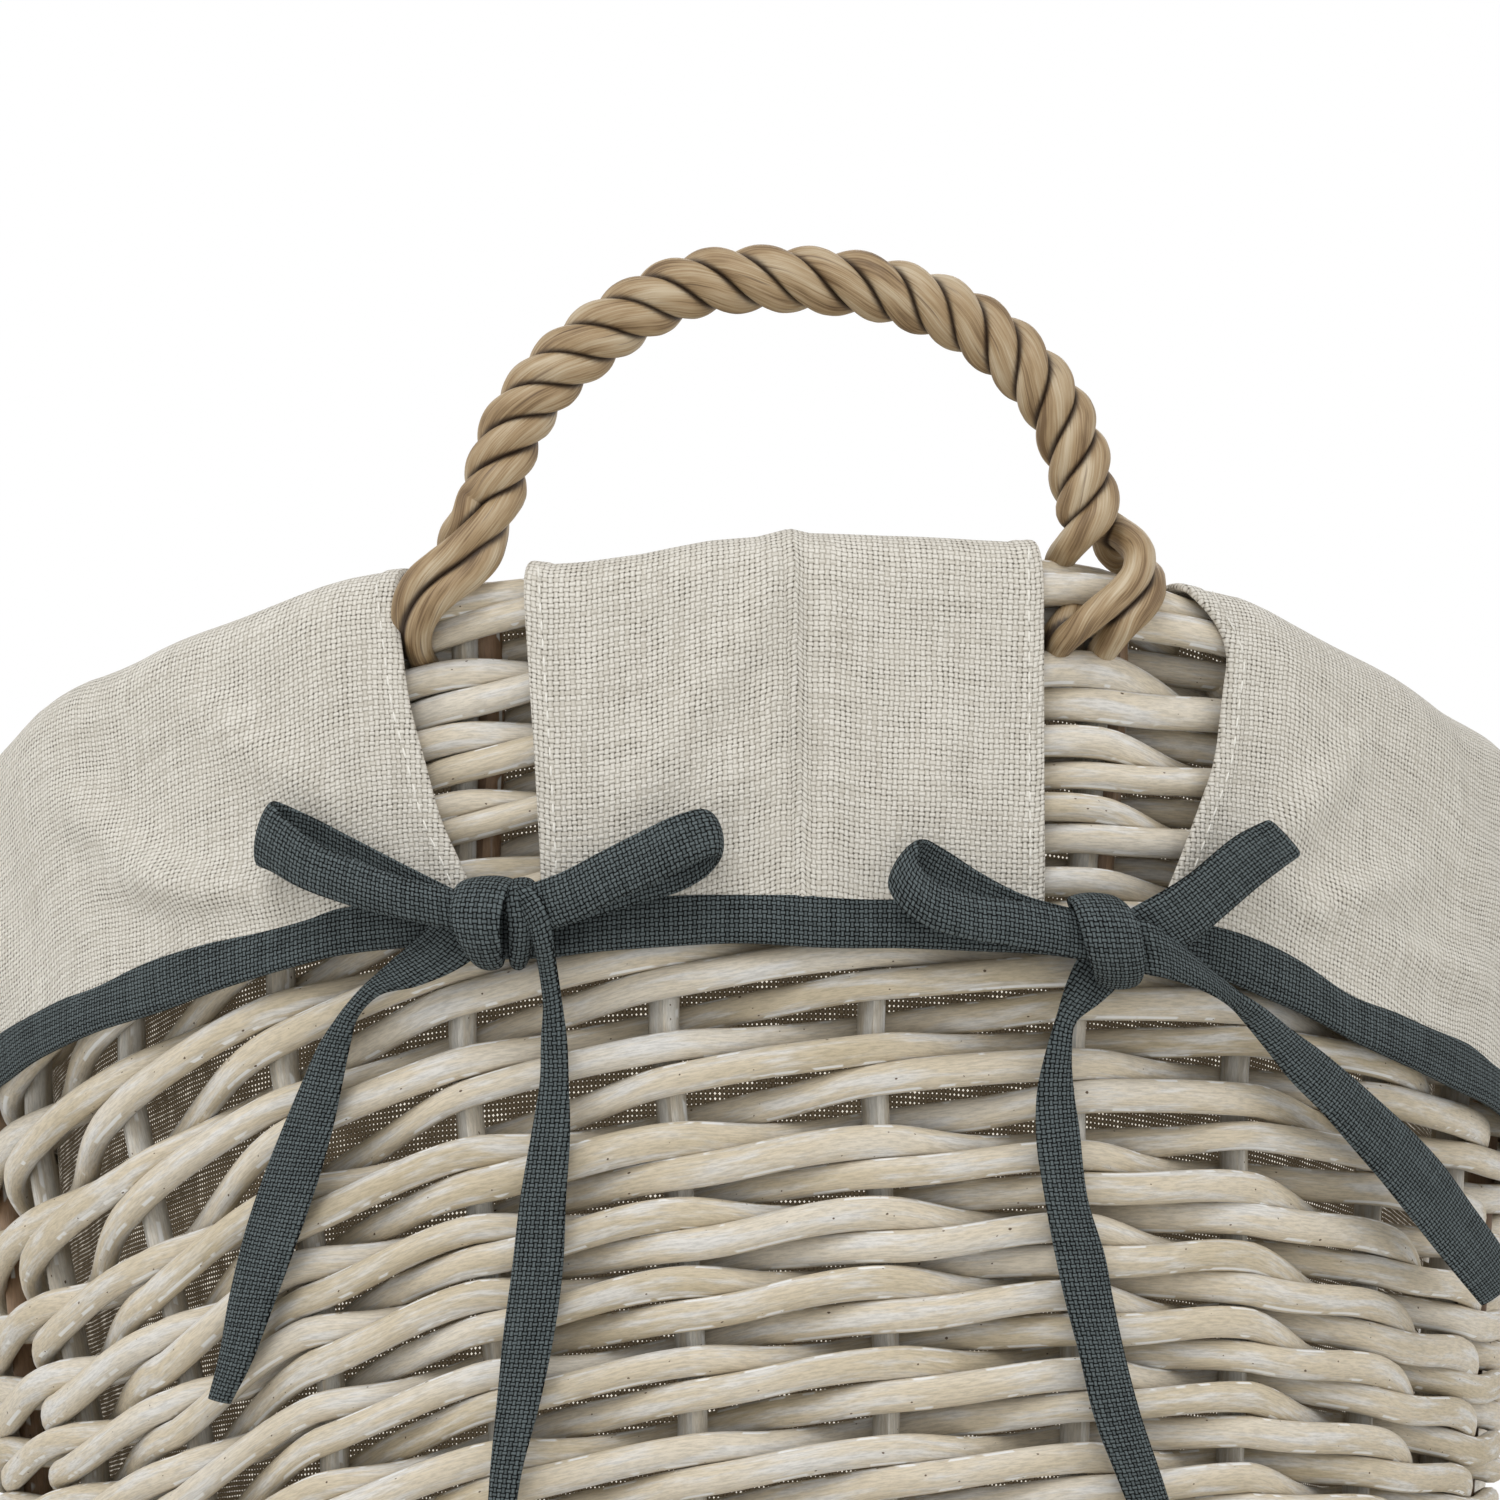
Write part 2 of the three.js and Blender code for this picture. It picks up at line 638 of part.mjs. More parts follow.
addMesh('bow_front_left', bow(-BOW_PLACE, BOW_ONE), TAPE);
addMesh('bow_front_right', bow(BOW_PLACE, BOW_TWO), TAPE);
addMesh('bow_back_right', bow(halfRim - BOW_PLACE, BOW_ONE), TAPE);
addMesh('bow_back_left', bow(halfRim + BOW_PLACE, BOW_TWO), TAPE);

export default basket;
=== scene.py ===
"""Oval storage basket of whitewashed willow, with a twisted rope handle at each end and a
cloth liner that is turned over the rim, bound with tape and tied in bows.

The basket stands on the floor with its long way along Y, and the photographed end faces -Y.
Shapes are worked out in millimetres and go into their meshes in metres.
"""

import functools
import math

import bpy
import numpy as np
from mathutils import Matrix, Vector
from mathutils.kdtree import KDTree


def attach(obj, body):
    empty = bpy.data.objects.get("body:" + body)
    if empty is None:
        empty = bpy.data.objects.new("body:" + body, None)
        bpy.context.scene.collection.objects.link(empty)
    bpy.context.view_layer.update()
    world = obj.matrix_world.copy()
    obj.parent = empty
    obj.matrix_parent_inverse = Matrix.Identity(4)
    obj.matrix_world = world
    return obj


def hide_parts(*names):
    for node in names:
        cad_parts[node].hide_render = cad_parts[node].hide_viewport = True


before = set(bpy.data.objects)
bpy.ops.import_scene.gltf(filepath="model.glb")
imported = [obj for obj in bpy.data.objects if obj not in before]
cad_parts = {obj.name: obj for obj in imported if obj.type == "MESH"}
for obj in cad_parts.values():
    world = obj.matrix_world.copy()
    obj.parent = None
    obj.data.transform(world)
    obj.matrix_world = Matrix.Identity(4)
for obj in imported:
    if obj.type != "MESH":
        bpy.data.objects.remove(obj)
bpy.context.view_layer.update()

# The view. The camera stands a metre from the near end, a little above the floor, and looks up
# past the rim. The basket is turned by some two degrees on its floor, so the camera is set
# square to the floor and then swung back round the basket by that angle.
BASKET_TURN = math.radians(2.31)
CAMERA_YAW = math.radians(0.12)
CAMERA_PITCH = math.radians(9.85)
CAMERA_ROLL = math.radians(0.22)
CAMERA_PLACE = (-0.0008, -1.2136, 0.0455)
SENSOR_WIDTH = 36
FOCAL_SHARE = 4779 / 1500

camera_data = bpy.data.cameras.new("camera")
camera_data.sensor_width = SENSOR_WIDTH
camera_data.lens = SENSOR_WIDTH * FOCAL_SHARE
camera = bpy.data.objects.new("camera", camera_data)
bpy.context.scene.collection.objects.link(camera)
bpy.context.scene.camera = camera
camera.matrix_world = (
    Matrix.Rotation(-BASKET_TURN, 4, "Z") @ Matrix.Translation(CAMERA_PLACE)
    @ Matrix.Rotation(-CAMERA_YAW, 4, "Z") @ Matrix.Rotation(math.pi / 2 + CAMERA_PITCH, 4, "X")
    @ Matrix.Rotation(CAMERA_ROLL, 4, "Z")
)

# The studio: a pale matt floor under a white surround, one wide soft light high over the near
# end and a weaker one at each side. The surround shows pure white but lights the basket less.
FLOOR_COLOUR = "#E6E5E2"
SURROUND_LIGHT = 0.66
LIT_PLACE = (0, 0, 0.16)
LIGHTS = [
    ("key", (-0.55, -1.9, 1.75), 1.3, 21),
    ("fill_right", (1.7, -1.1, 0.9), 1.2, 6.5),
    ("fill_left", (-1.8, -0.6, 0.9), 1.2, 6),
    ("back", (0.3, 1.9, 1.6), 1.4, 10),
]


def linear(hex_colour):
    """The linear RGBA of an sRGB hex colour."""
    shares = [int(hex_colour[i:i + 2], 16) / 255 for i in (1, 3, 5)]
    return [*(v / 12.92 if v <= 0.04045 else ((v + 0.055) / 1.055) ** 2.4 for v in shares), 1.0]


def fill(node, inputs):
    """Sets a node's inputs: a socket's name or number gives the value that it holds or the
    output that it is linked from."""
    for key, value in inputs.items():
        if isinstance(value, bpy.types.NodeSocket):
            node.id_data.links.new(value, node.inputs[key])
        else:
            node.inputs[key].default_value = value


def add_node(tree, kind, inputs=None, output=0, **settings):
    """Adds a shader node with its settings and links and returns one of its outputs."""
    node = tree.nodes.new("ShaderNode" + kind)
    for name, value in settings.items():
        setattr(node, name, value)
    fill(node, inputs or {})
    return node.outputs[output]


def new_material(name, inputs):
    """A named material, its Principled shader with these inputs, and add_node for its tree."""
    material = bpy.data.materials.new(name)
    material.use_nodes = True
    shader = material.node_tree.nodes["Principled BSDF"]
    fill(shader, inputs)
    return material, shader, functools.partial(add_node, material.node_tree)


floor_mesh = bpy.data.meshes.new("floor")
floor_mesh.from_pydata([(-4, -4, 0), (4, -4, 0), (4, 4, 0), (-4, 4, 0)], [], [(0, 1, 2, 3)])
floor_mesh.materials.append(new_material("matt_painted_floor", {
    "Base Color": linear(FLOOR_COLOUR), "Roughness": 0.85,
})[0])
floor = bpy.data.objects.new("floor", floor_mesh)
bpy.context.scene.collection.objects.link(floor)

world = bpy.data.worlds.new("white_surround")
bpy.context.scene.world = world
world.use_nodes = True
fill(world.node_tree.nodes["Background"], {
    "Color": (1, 1, 1, 1),
    "Strength": add_node(world.node_tree, "Mix", {
        0: add_node(world.node_tree, "LightPath", output="Is Camera Ray"),
        2: SURROUND_LIGHT, 3: 1.0,
    }),
})
bpy.context.scene.view_settings.view_transform = "Standard"

for light_name, light_place, light_size, light_power in LIGHTS:
    light_data = bpy.data.lights.new(light_name, "AREA")
    light_data.shape = "DISK"
    light_data.size = light_size
    light_data.energy = light_power
    light = bpy.data.objects.new(light_name, light_data)
    light.location = light_place
    light.rotation_mode = "QUATERNION"
    towards = np.array(LIT_PLACE) - np.array(light_place)
    light.rotation_quaternion = Vector(towards).to_track_quat("-Z", "Y")
    bpy.context.scene.collection.objects.link(light)

# Foot wale: three willow rods twisted together all round the foot, on which the basket stands.
# The rods are peeled, soaked and woven wet round the first of the stakes, then brushed with
# thin white paint that is wiped off again, so it stays in the grain and beside the crossings.
RIM_HALF_WIDTH = 190
RIM_HALF_LENGTH = 212
BASE_HALF_WIDTH = 170
BASE_HALF_LENGTH = 186
PLAN_POWER = 2.3
END_HEIGHT = 262
SIDE_HEIGHT = 220
STAKE_COUNT = 28
RIM_WAVE = [(-110, 0), (-80, -0.5), (-55, -2), (-30, -2.2), (-10, -1), (5, 0), (20, 1.2), (45, 3),
            (60, 4), (70, 4.2), (82, 2.5), (98, 0.6), (112, 0)]
RIM_WAVE_DEPTH = 40
LOW_LEVEL = 0.33
HIGH_LEVEL = 0.62
LOW_SWAY = [(0, 3), (70, 0.5), (116, -3), (208, -2), (324, 5), (440, 13), (486, 14), (532, 9),
            (578, 5), (649, 3)]
HIGH_SWAY = [(0, -4), (70, -3), (116, -6), (162, -4.5), (208, -6), (324, -8), (440, -13),
             (486, -5.5), (532, -1.5), (578, -2), (649, -4)]
WALE_ROD = 7.3
WALE_TWISTS = 9
WALE_MIDDLE = 8
WALE_REACH = 6.9
WALE_RISE = 4.2
WALE_LAY_STEP = 5000
ROD_GIRTH = 22


def oval_walk(half_width, half_length):
    """The oval |x/a|^p + |y/b|^p = 1, walked from the middle of the -Y end towards +X: the
    share of its length at each sample, the place and the outward direction there."""
    angle = np.linspace(0, 2 * np.pi, 8193)
    across = np.abs(np.sin(angle) / half_width) ** PLAN_POWER
    along = np.abs(np.cos(angle) / half_length) ** PLAN_POWER
    reach = (across + along) ** (-1 / PLAN_POWER)
    x, y = reach * np.sin(angle), -reach * np.cos(angle)
    arc = np.concatenate([[0], np.cumsum(np.hypot(np.diff(x), np.diff(y)))])
    run_x, run_y = np.gradient(x, arc), np.gradient(y, arc)
    size = np.hypot(run_x, run_y)
    return {"share": arc / arc[-1], "x": x, "y": y, "out_x": run_y / size,
            "out_y": -run_x / size, "length": arc[-1]}


rim = oval_walk(RIM_HALF_WIDTH, RIM_HALF_LENGTH)
foot = oval_walk(BASE_HALF_WIDTH, BASE_HALF_LENGTH)


def rim_height(turn):
    """Height of the rim: the sides' height, raised to the ends' by the square of |y|."""
    along = np.interp(turn % 1, rim["share"], rim["y"]) / RIM_HALF_LENGTH
    return SIDE_HEIGHT + (END_HEIGHT - SIDE_HEIGHT) * along ** 2


def round_half(turn, rows, start=0):
    """A line through rows of (place along the rim, value) from the middle of an end, the same
    on both halves of the basket. start is where the table starts."""
    place = (turn * rim["length"] - start) % (rim["length"] / 2) + start
    return np.interp(place, *np.transpose(rows))


def wall(turn, height, out):
    """Places on the flared wall. turn is the share of the way round, height is above the
    floor, and out stands off the stakes' centre line. Foot and rim are joined by straight
    lines, and out is laid off along the two ovals' outward directions, blended likewise. The
    rim's wave lifts the top and fades out below it."""
    turn, height, out = np.broadcast_arrays(turn, height, out)
    level = height / rim_height(turn)
    mixed = {
        key: (1 - level) * np.interp(turn % 1, foot["share"], foot[key])
        + level * np.interp(turn % 1, rim["share"], rim[key])
        for key in ("x", "y", "out_x", "out_y")
    }
    size = np.hypot(mixed["out_x"], mixed["out_y"])
    x = mixed["x"] + out * mixed["out_x"] / size
    y = mixed["y"] + out * mixed["out_y"] / size
    near_rim = np.clip(1 - (rim_height(turn) - height) / RIM_WAVE_DEPTH, 0, 1)
    wave = round_half(turn, RIM_WAVE, -rim["length"] / 4)
    return np.stack([x, y, height + wave * near_rim], -1)


def swayed(turn, height):
    """The share of the way round for a rod at that height: the stakes and the weave lean a few
    millimetres to and fro, by one table at the low level and one at the high level, above
    which the lean fades out to the rim."""
    level = height / rim_height(turn)
    low, high = round_half(turn, LOW_SWAY), round_half(turn, HIGH_SWAY)
    sway = low + (high - low) * np.clip((level - LOW_LEVEL) / (HIGH_LEVEL - LOW_LEVEL), 0, 1)
    fading = 1 - np.clip((level - HIGH_LEVEL) / (1 - HIGH_LEVEL), 0, 1)
    return turn + sway * fading / rim["length"]


def ring_angles(count):
    """Angles at even steps round a ring."""
    return np.linspace(0, 2 * np.pi, count, endpoint=False)


def flattened(wave, power):
    """A sine or cosine with its swings flattened by a power under 1."""
    return np.sign(wave) * np.abs(wave) ** power


def gone_along(points, axis=0):
    """How far each point lies from the first, measured along the points of one axis."""
    first = np.take(points, [0], axis)
    return np.cumsum(np.linalg.norm(np.diff(points, axis=axis, prepend=first), axis=-1), axis=axis)


def side_by_side(*values):
    """The values, spread over each other's shapes, side by side in a last axis."""
    return np.stack(np.broadcast_arrays(*values), -1)


def make_piece(name, grids, material, nodes=()):
    """One mesh object from grids of points. A grid is (points, lay, closed_along,
    closed_around): points [along, around, xyz] in millimetres, lay the pattern's place in
    millimetres for each point, one more where the grid closes. A grid that closes around but
    not along is capped. Its faces are turned over where the volume that they enclose is
    negative."""
    vertices, faces, lays, base = [], [], [], 0
    for points, lay, closed_along, closed_around in grids:
        count, sides = points.shape[:2]
        i = np.arange(count if closed_along else count - 1)[:, None]
        j = np.arange(sides if closed_around else sides - 1)[None, :]
        i2, j2 = (i + 1) % count, (j + 1) % sides
        quads = np.stack([i * sides + j, i2 * sides + j, i2 * sides + j2, i * sides + j2], -1)
        quad_lay = np.stack([lay[i, j], lay[i + 1, j], lay[i + 1, j + 1], lay[i, j + 1]], 2)
        quads, quad_lay = quads.reshape(-1, 4), quad_lay.reshape(-1, 4, 2)
        flat = points.reshape(-1, 3)
        a, b, c, d = (flat[quads[:, k]] - flat[0] for k in range(4))
        volume = np.einsum("ij,ij->i", a, np.cross(b, c) + np.cross(c, d)).sum()
        turned = volume < 0
        if turned:
            quads, quad_lay = quads[:, ::-1], quad_lay[:, ::-1]
        faces += (quads + base).tolist()
        lays.append(quad_lay.reshape(-1, 2))
        if closed_around and not closed_along:
            ring = np.arange(sides)
            caps = [ring, ring[::-1] + (count - 1) * sides]
            cap_lays = [lay[0, :sides], lay[count - 1, :sides][::-1]]
            for cap, cap_lay in zip(caps, cap_lays):
                faces.append(((cap[::-1] if turned else cap) + base).tolist())
                lays.append(cap_lay[::-1] if turned else cap_lay)
        vertices.append(flat / 1000)
        base += len(flat)
    mesh = bpy.data.meshes.new(name)
    mesh.from_pydata(np.concatenate(vertices).tolist(), [], faces)
    layer = mesh.uv_layers.new(name="lay")
    layer.uv.foreach_set("vector", (np.concatenate(lays) / 1000).astype(np.float32).ravel())
    mesh.polygons.foreach_set("use_smooth", np.ones(len(mesh.polygons), bool))
    mesh.materials.append(material)
    piece = bpy.data.objects.new(name, mesh)
    bpy.context.scene.collection.objects.link(piece)
    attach(piece, "root")
    if nodes:
        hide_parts(*nodes)
    return piece


def mark_contact(piece, lines, radius, reach):
    """Stores on each point of a rod how close the rods beside it are, for the shade that the
    materials paint where rods touch: 1 where it touches one and 0 where it is more than reach
    off it, in millimetres. The rods beside it are given by their middle lines and their radius."""
    beside = np.concatenate(lines) / 1000
    tree = KDTree(len(beside))
    for number, point in enumerate(beside):
        tree.insert(point, number)
    tree.balance()
    gaps = np.array([tree.find(vertex.co)[2] for vertex in piece.data.vertices]) * 1000
    contact = np.clip(1 - (gaps - radius) / reach, 0, 1)
    layer = piece.data.attributes.new("contact", "FLOAT", "POINT")
    layer.data.foreach_set("value", contact.astype(np.float32))


def drawn_out(add, place, along, around, detail, roughness=0.5):
    """Noise drawn out along a rod or a thread: along and around count its patches in a metre
    of each of the lay's two directions. add adds a node to the material's tree."""
    return add("TexNoise", {
        "Vector": add("Mapping", {0: place, 3: (along, around, 1)}),
        "Scale": 1, "Detail": detail, "Roughness": roughness,
    })


def touch_shaded(add, colour, shade_colour, low, high, most):
    """The colour, darkened by painted shade where a rod touches those beside it: not at all
    up to the contact low, and by the share most from the contact high on."""
    contact = add("Attribute", output="Fac", attribute_name="contact")
    return add("Mix", {
        0: add("MapRange", {0: contact, 1: low, 2: high, 3: 0.0, 4: most},
               interpolation_type="SMOOTHSTEP"),
        6: colour, 7: linear(shade_colour),
    }, output=2, data_type="RGBA")


def peeled_willow(name, pale, tan, shade, wash, wash_share):
    """Peeled willow under wiped-off white paint: a satin wood whose grain runs along the rod.
    The lay's first place is along the rod and its second is round it, with the outer side in
    the middle of the girth. Patches a hand wide go from tan to pale, wash stays in streaks a
    few millimetres wide, and pores make fine dark lines. The flanks are darkened by a painted
    shadow. Where a rod touches others, a brown painted shade darkens it, and beside that,
    gathered paint shows as short white lines."""
    material, shader, add = new_material(name, {"Roughness": 0.56})
    place = add("UVMap", uv_map="lay")
    wood = add("ValToRGB", {0: drawn_out(add, place, 11, 60, 3, 0.55)})
    ramp = wood.node.color_ramp.elements
    ramp[0].position, ramp[0].color = 0.3, linear(shade)
    ramp[1].position, ramp[1].color = 0.7, linear(pale)
    ramp.new(0.5).color = linear(tan)
    wash_mask = add("MapRange", {
        0: drawn_out(add, place, 40, 330, 4, 0.6),
        1: 0.62 - wash_share * 0.4, 2: 0.8 - wash_share * 0.4, 3: 0.0, 4: 0.7,
    }, interpolation_type="SMOOTHSTEP")
    washed = add("Mix", {0: wash_mask, 6: wood, 7: linear(wash)}, output=2, data_type="RGBA")

    grain = drawn_out(add, place, 290, 2100, 3, 0.7)
    pores = add("MapRange", {0: grain, 1: 0.33, 2: 0.62, 3: 0.8, 4: 1.05},
                interpolation_type="SMOOTHSTEP")
    round_place = add("SeparateXYZ", {0: place}, output=1)
    off_outer = add("Math", {0: round_place, 1: ROD_GIRTH / 2000}, operation="SUBTRACT")
    from_outer = add("Math", {0: off_outer}, operation="ABSOLUTE")
    shadow = add("MapRange", {0: from_outer, 1: 0.005, 2: 0.0075, 3: 1.0, 4: 0.72},
                 interpolation_type="SMOOTHSTEP")
    darkening = add("Math", {0: pores, 1: shadow}, operation="MULTIPLY")
    darkened = add("VectorMath", {0: washed, "Scale": darkening}, operation="SCALE")
    # Painted shade, brown, where the rod touches the rods beside it.
    crevice_shaded = touch_shaded(add, darkened, "#5F4F38", 0.55, 1.0, 0.65)

    off_line = add("Math", {0: from_outer, 1: 0.0037}, operation="SUBTRACT")
    beside = add("Math", {0: off_line}, operation="ABSOLUTE")
    lines = add("MapRange", {0: beside, 1: 0.0007, 2: 0.0004, 3: 0.0, 4: 1.0})
    patches = add("MapRange", {0: drawn_out(add, place, 110, 80, 2), 1: 0.53, 2: 0.56})
    residue = add("Math", {0: patches, 1: lines}, operation="MULTIPLY")
    painted = add("Mix", {0: residue, 6: crevice_shaded, 7: linear("#EDEDEB")}, output=2, data_type="RGBA")
    specks = add("MapRange", {0: drawn_out(add, place, 700, 900, 0), 1: 0.835, 2: 0.86})
    specked = add("Mix", {0: specks, 6: painted, 7: linear("#5E4C3A")}, output=2, data_type="RGBA")
    fill(shader, {"Base Color": specked, "Normal": add("Bump", {
        "Strength": 0.35, "Distance": 0.00025, "Height": grain,
    })})
    return material


willow = peeled_willow("whitewashed_willow", "#DAD3C6", "#D1C5AF", "#BEB094", "#DBDBDA", 0.4)


def wall_rod(turn, height, out, across, upright, lay_start, sides=14, closed=False):
    """A rod along the wall. Its section at each station is an ellipse with slightly flattened
    faces, across wide square to the wall and upright high, whose points go round from the
    inner side: out and height take powers of the cosine and sine of the angle."""
    angle = np.linspace(-np.pi, np.pi, sides, endpoint=False)
    square_out, square_up = flattened(np.cos(angle), 0.8), flattened(np.sin(angle), 0.92)
    turn = swayed(turn, height)
    across, upright = np.broadcast_to(across, turn.shape), np.broadcast_to(upright, turn.shape)
    points = wall(
        turn[:, None],
        height[:, None] + upright[:, None] / 2 * square_up,
        out[:, None] + across[:, None] / 2 * square_out,
    )
    middle = wall(turn, height, out)
    steps = np.linalg.norm(np.diff(middle, axis=0), axis=1)
    along = lay_start + np.concatenate([[0], np.cumsum(steps)])
    if closed:
        along = np.append(along, along[-1] + steps[-1])
    lay = side_by_side(along[:, None], np.linspace(0, ROD_GIRTH, sides + 1))
    return points, lay, closed, True


wale_turn = np.linspace(0, 1, 560, endpoint=False)
wale_grids = []
for rod in range(3):
    phase = 2 * np.pi * (WALE_TWISTS * wale_turn + rod / 3)
    wale_grids.append(wall_rod(
        wale_turn, WALE_MIDDLE + WALE_RISE * np.sin(phase), WALE_REACH * np.cos(phase),
        WALE_ROD, WALE_ROD, WALE_LAY_STEP * rod, sides=16, closed=True,
    ))
make_piece("foot_wale_rods", wale_grids, willow, ["foot_wale"])

# Base: an oval mat of willow rods woven over and under straight sticks that cross in the
# middle. The liner's floor lies on it, and it is seen from below only.
MAT_MIDDLE = 8.5
MAT_ROD = 4.9
MAT_WAVE = 1.9
MAT_STICK = 3.8
MAT_RINGS = 26
MAT_STICKS = 12
MAT_EDGE_OUT = -14.2
MAT_RADIUS = 164
MAT_SHRINKS_BY = 0.88
MAT_STATIONS = 168
MAT_STATION_LAY = 6.2
MAT_RING_LAY_STEP = 3000
MAT_STICK_LAY = 320
MAT_STICK_LAY_STEP = 900


def mat_place(turn, share, height):
    """A place on the mat: the oval of its edge, shrunk to the given share of its size."""
    turn, share, height = np.broadcast_arrays(turn, share, height)
    edge = wall(turn, np.full(turn.shape, MAT_MIDDLE), np.full(turn.shape, MAT_EDGE_OUT))
    return np.stack([edge[..., 0] * share, edge[..., 1] * share, height], -1)


mat_turn = np.linspace(0, 1, MAT_STATIONS, endpoint=False)
mat_angle = ring_angles(8)
mat_around = np.linspace(0, ROD_GIRTH, 9)
mat_grids = []
for ring in range(MAT_RINGS):
    share = 1 - ring * MAT_SHRINKS_BY / (MAT_RINGS - 1)
    wave = MAT_WAVE * np.cos(2 * np.pi * MAT_STICKS * mat_turn + np.pi * ring)
    points = mat_place(
        mat_turn[:, None],
        share + MAT_ROD / 2 * np.cos(mat_angle) / MAT_RADIUS,
        MAT_MIDDLE + wave[:, None] + MAT_ROD / 2 * np.sin(mat_angle),
    )
    along = np.arange(MAT_STATIONS + 1) * MAT_STATION_LAY * share + MAT_RING_LAY_STEP * ring
    mat_grids.append((points, side_by_side(along[:, None], mat_around), True, True))
for stick in range(MAT_STICKS):
    stick_turn = stick / (2 * MAT_STICKS)
    ends = mat_place(np.array([stick_turn, stick_turn + 0.5]), 1.0, MAT_MIDDLE)
    run = ends[1] - ends[0]
    side = np.array([-run[1], run[0], 0]) / np.linalg.norm(run)
    ring = side * np.cos(mat_angle)[:, None] + np.array([0, 0, 1]) * np.sin(mat_angle)[:, None]
    points = ends[0] + run * np.linspace(0, 1, 9)[:, None, None] + MAT_STICK / 2 * ring
    along = np.linspace(0, MAT_STICK_LAY, 9) + MAT_STICK_LAY_STEP * stick
    mat_grids.append((points, side_by_side(along[:, None], mat_around), False, True))
make_piece("base_weave", mat_grids, willow, ["base_mat"])

# Stakes: upright willow rods from the foot to the border, pushed in beside the base sticks.
# Most are washed as pale as the weave, and a few kept their brown skin. A short brown rod
# beside a stake stiffens each handle foot.
STAKE_ROD = 6.7
STAKE_FOOT = 9
STAKE_TOP_DROP = 7
STAKE_LAY_STEP = 5000
BROWN_STAKES = (6, 9, 18, 23)
PROP_PLACES = (75.3, -64.3, 724, 584.3)
PROP_ROD = STAKE_ROD * 0.92
PROP_FOOT_DROP = 92
PROP_OUT = -1.8

washed_willow = peeled_willow("heavily_washed_willow", "#DAD3C6", "#C9C0AF", "#B3A793", "#DDDCD7",
                              0.55)
brown_willow = peeled_willow("brown_willow", "#BFA287", "#A5876B", "#86684F", "#C4B8AC", 0.15)
stake_numbers = np.random.default_rng(11)


def upright_rod(turn, low, high, thickness, seed, out=0):
    """A rod that stands on the wall between two heights, bent by less than a millimetre. Its
    section is a circle in the plane of the wall's outward and level directions, and out moves
    it out of the stakes' line."""
    steps = np.linspace(0, 1, 22)[:, None]
    angle = ring_angles(16)
    height = low + (high - low) * steps
    bend = 0.5 * np.sin(2 * np.pi * (steps * 1.3 + seed))
    level_turn = swayed(turn, height) + (thickness / 2 * np.sin(angle) + bend) / rim["length"]
    points = wall(level_turn, height, out + thickness / 2 * np.cos(angle))
    around = np.linspace(ROD_GIRTH / 2, ROD_GIRTH * 1.5, 17)
    return points, side_by_side(height + STAKE_LAY_STEP * seed, around), False, True


for number in range(1, STAKE_COUNT + 1):
    stake_turn = (number - 0.5) / STAKE_COUNT
    node = f"stake_{number:02d}"
    grid = upright_rod(stake_turn, STAKE_FOOT, rim_height(stake_turn) - STAKE_TOP_DROP,
                       STAKE_ROD * stake_numbers.uniform(0.93, 1.06), stake_numbers.uniform())
    make_piece(f"{node}_rod", [grid], brown_willow if number in BROWN_STAKES else washed_willow,
               [node])
for number, prop_place in enumerate(PROP_PLACES):
    prop_turn = prop_place / rim["length"]
    prop_rim = rim_height(prop_turn)
    grid = upright_rod(prop_turn, prop_rim - PROP_FOOT_DROP, prop_rim - STAKE_TOP_DROP,
                       PROP_ROD, 0.37 + number, PROP_OUT)
    make_piece(f"handle_prop_{number + 1}", [grid], brown_willow)

# Weave: twenty-eight weavers, one started behind each stake. Every weaver goes in front of two
# stakes and behind one and climbs to the right, a row in three stakes, so that each row shows
# two rods with a slot over them where a third goes behind. Behind its stake a weaver lies
# packed down on the rods below, which leaves the slot open above it. The rods are thinner in
# two rows near the top.
WEAVER_HIGH = 6.9
WEAVER_THINNER = 1.0
WEAVER_THROUGH = 5.8
WEAVE_REACH = 6.1
WEAVE_PACK = 1.6
WEAVE_THIN_PACK = 1.1
WEAVE_THIN_FROM = 9.5
WEAVE_THIN_TO = 12
WEAVE_STAKES = 39
WEAVE_STEPS = 13
WEAVE_LAY_STEP = 7000
WEAVE_LOWEST = 0.22
WEAVE_HIGHEST = 12.78
WEAVE_WAVE = 0.13
ROOT_THREE = 1.732
WEAVER_TOUCHES = 3.2
WEAVER_SHADE_REACH = 1.7
SLOT_DROPS = [245.7, 223, 202, 183.2, 165.4, 150.3, 136.1, 119.4, 97.9, 78.5, 60, 46.5, 32.5, 18.5]
ROW_FALL = [(0, 0), (70, 1), (116, 3), (162, 8.5), (208, 13), (270, 15), (324, 16), (380, 17.5),
            (440, 19.5), (486, 16.5), (532, 6.8), (578, 2), (649, 0)]
ROW_FALL_SHARES = [0, 0.4, 0.8, 1, 1, 1, 0.9, 0.8, 0.65, 0.48, 0.32, 0.2, 0.1, 0]
WEAVE_FOOT = 16.3
WEAVE_TOP_DROP = 18.5
weaver_numbers = np.random.default_rng(28)


def slot_height(row, turn):
    """Height of a place between the slots, by row: the slots' drops below the rim at the ends
    become shares of the woven height, which is then less where the rim is lower. Away from the
    ends the rows fall off more than the rim does."""
    shares = END_HEIGHT - np.array(SLOT_DROPS) - WEAVE_FOOT
    shares = shares / (END_HEIGHT - WEAVE_TOP_DROP - WEAVE_FOOT)
    top = rim_height(turn) - WEAVE_TOP_DROP
    rows = np.arange(len(shares))
    fall = round_half(turn, ROW_FALL) * np.interp(row, rows, ROW_FALL_SHARES)
    return WEAVE_FOOT + (top - WEAVE_FOOT) * np.interp(row, rows, shares) - fall


def smooth_wander(count, steps, size):
    """A smooth random line: values at every knot, joined by cosine steps."""
    knots = weaver_numbers.normal(0, size, count + 2)
    place = np.linspace(0, count, steps)
    base = np.floor(place).astype(int)
    blend = (1 - np.cos(np.pi * (place - base))) / 2
    return knots[base] * (1 - blend) + knots[base + 1] * blend


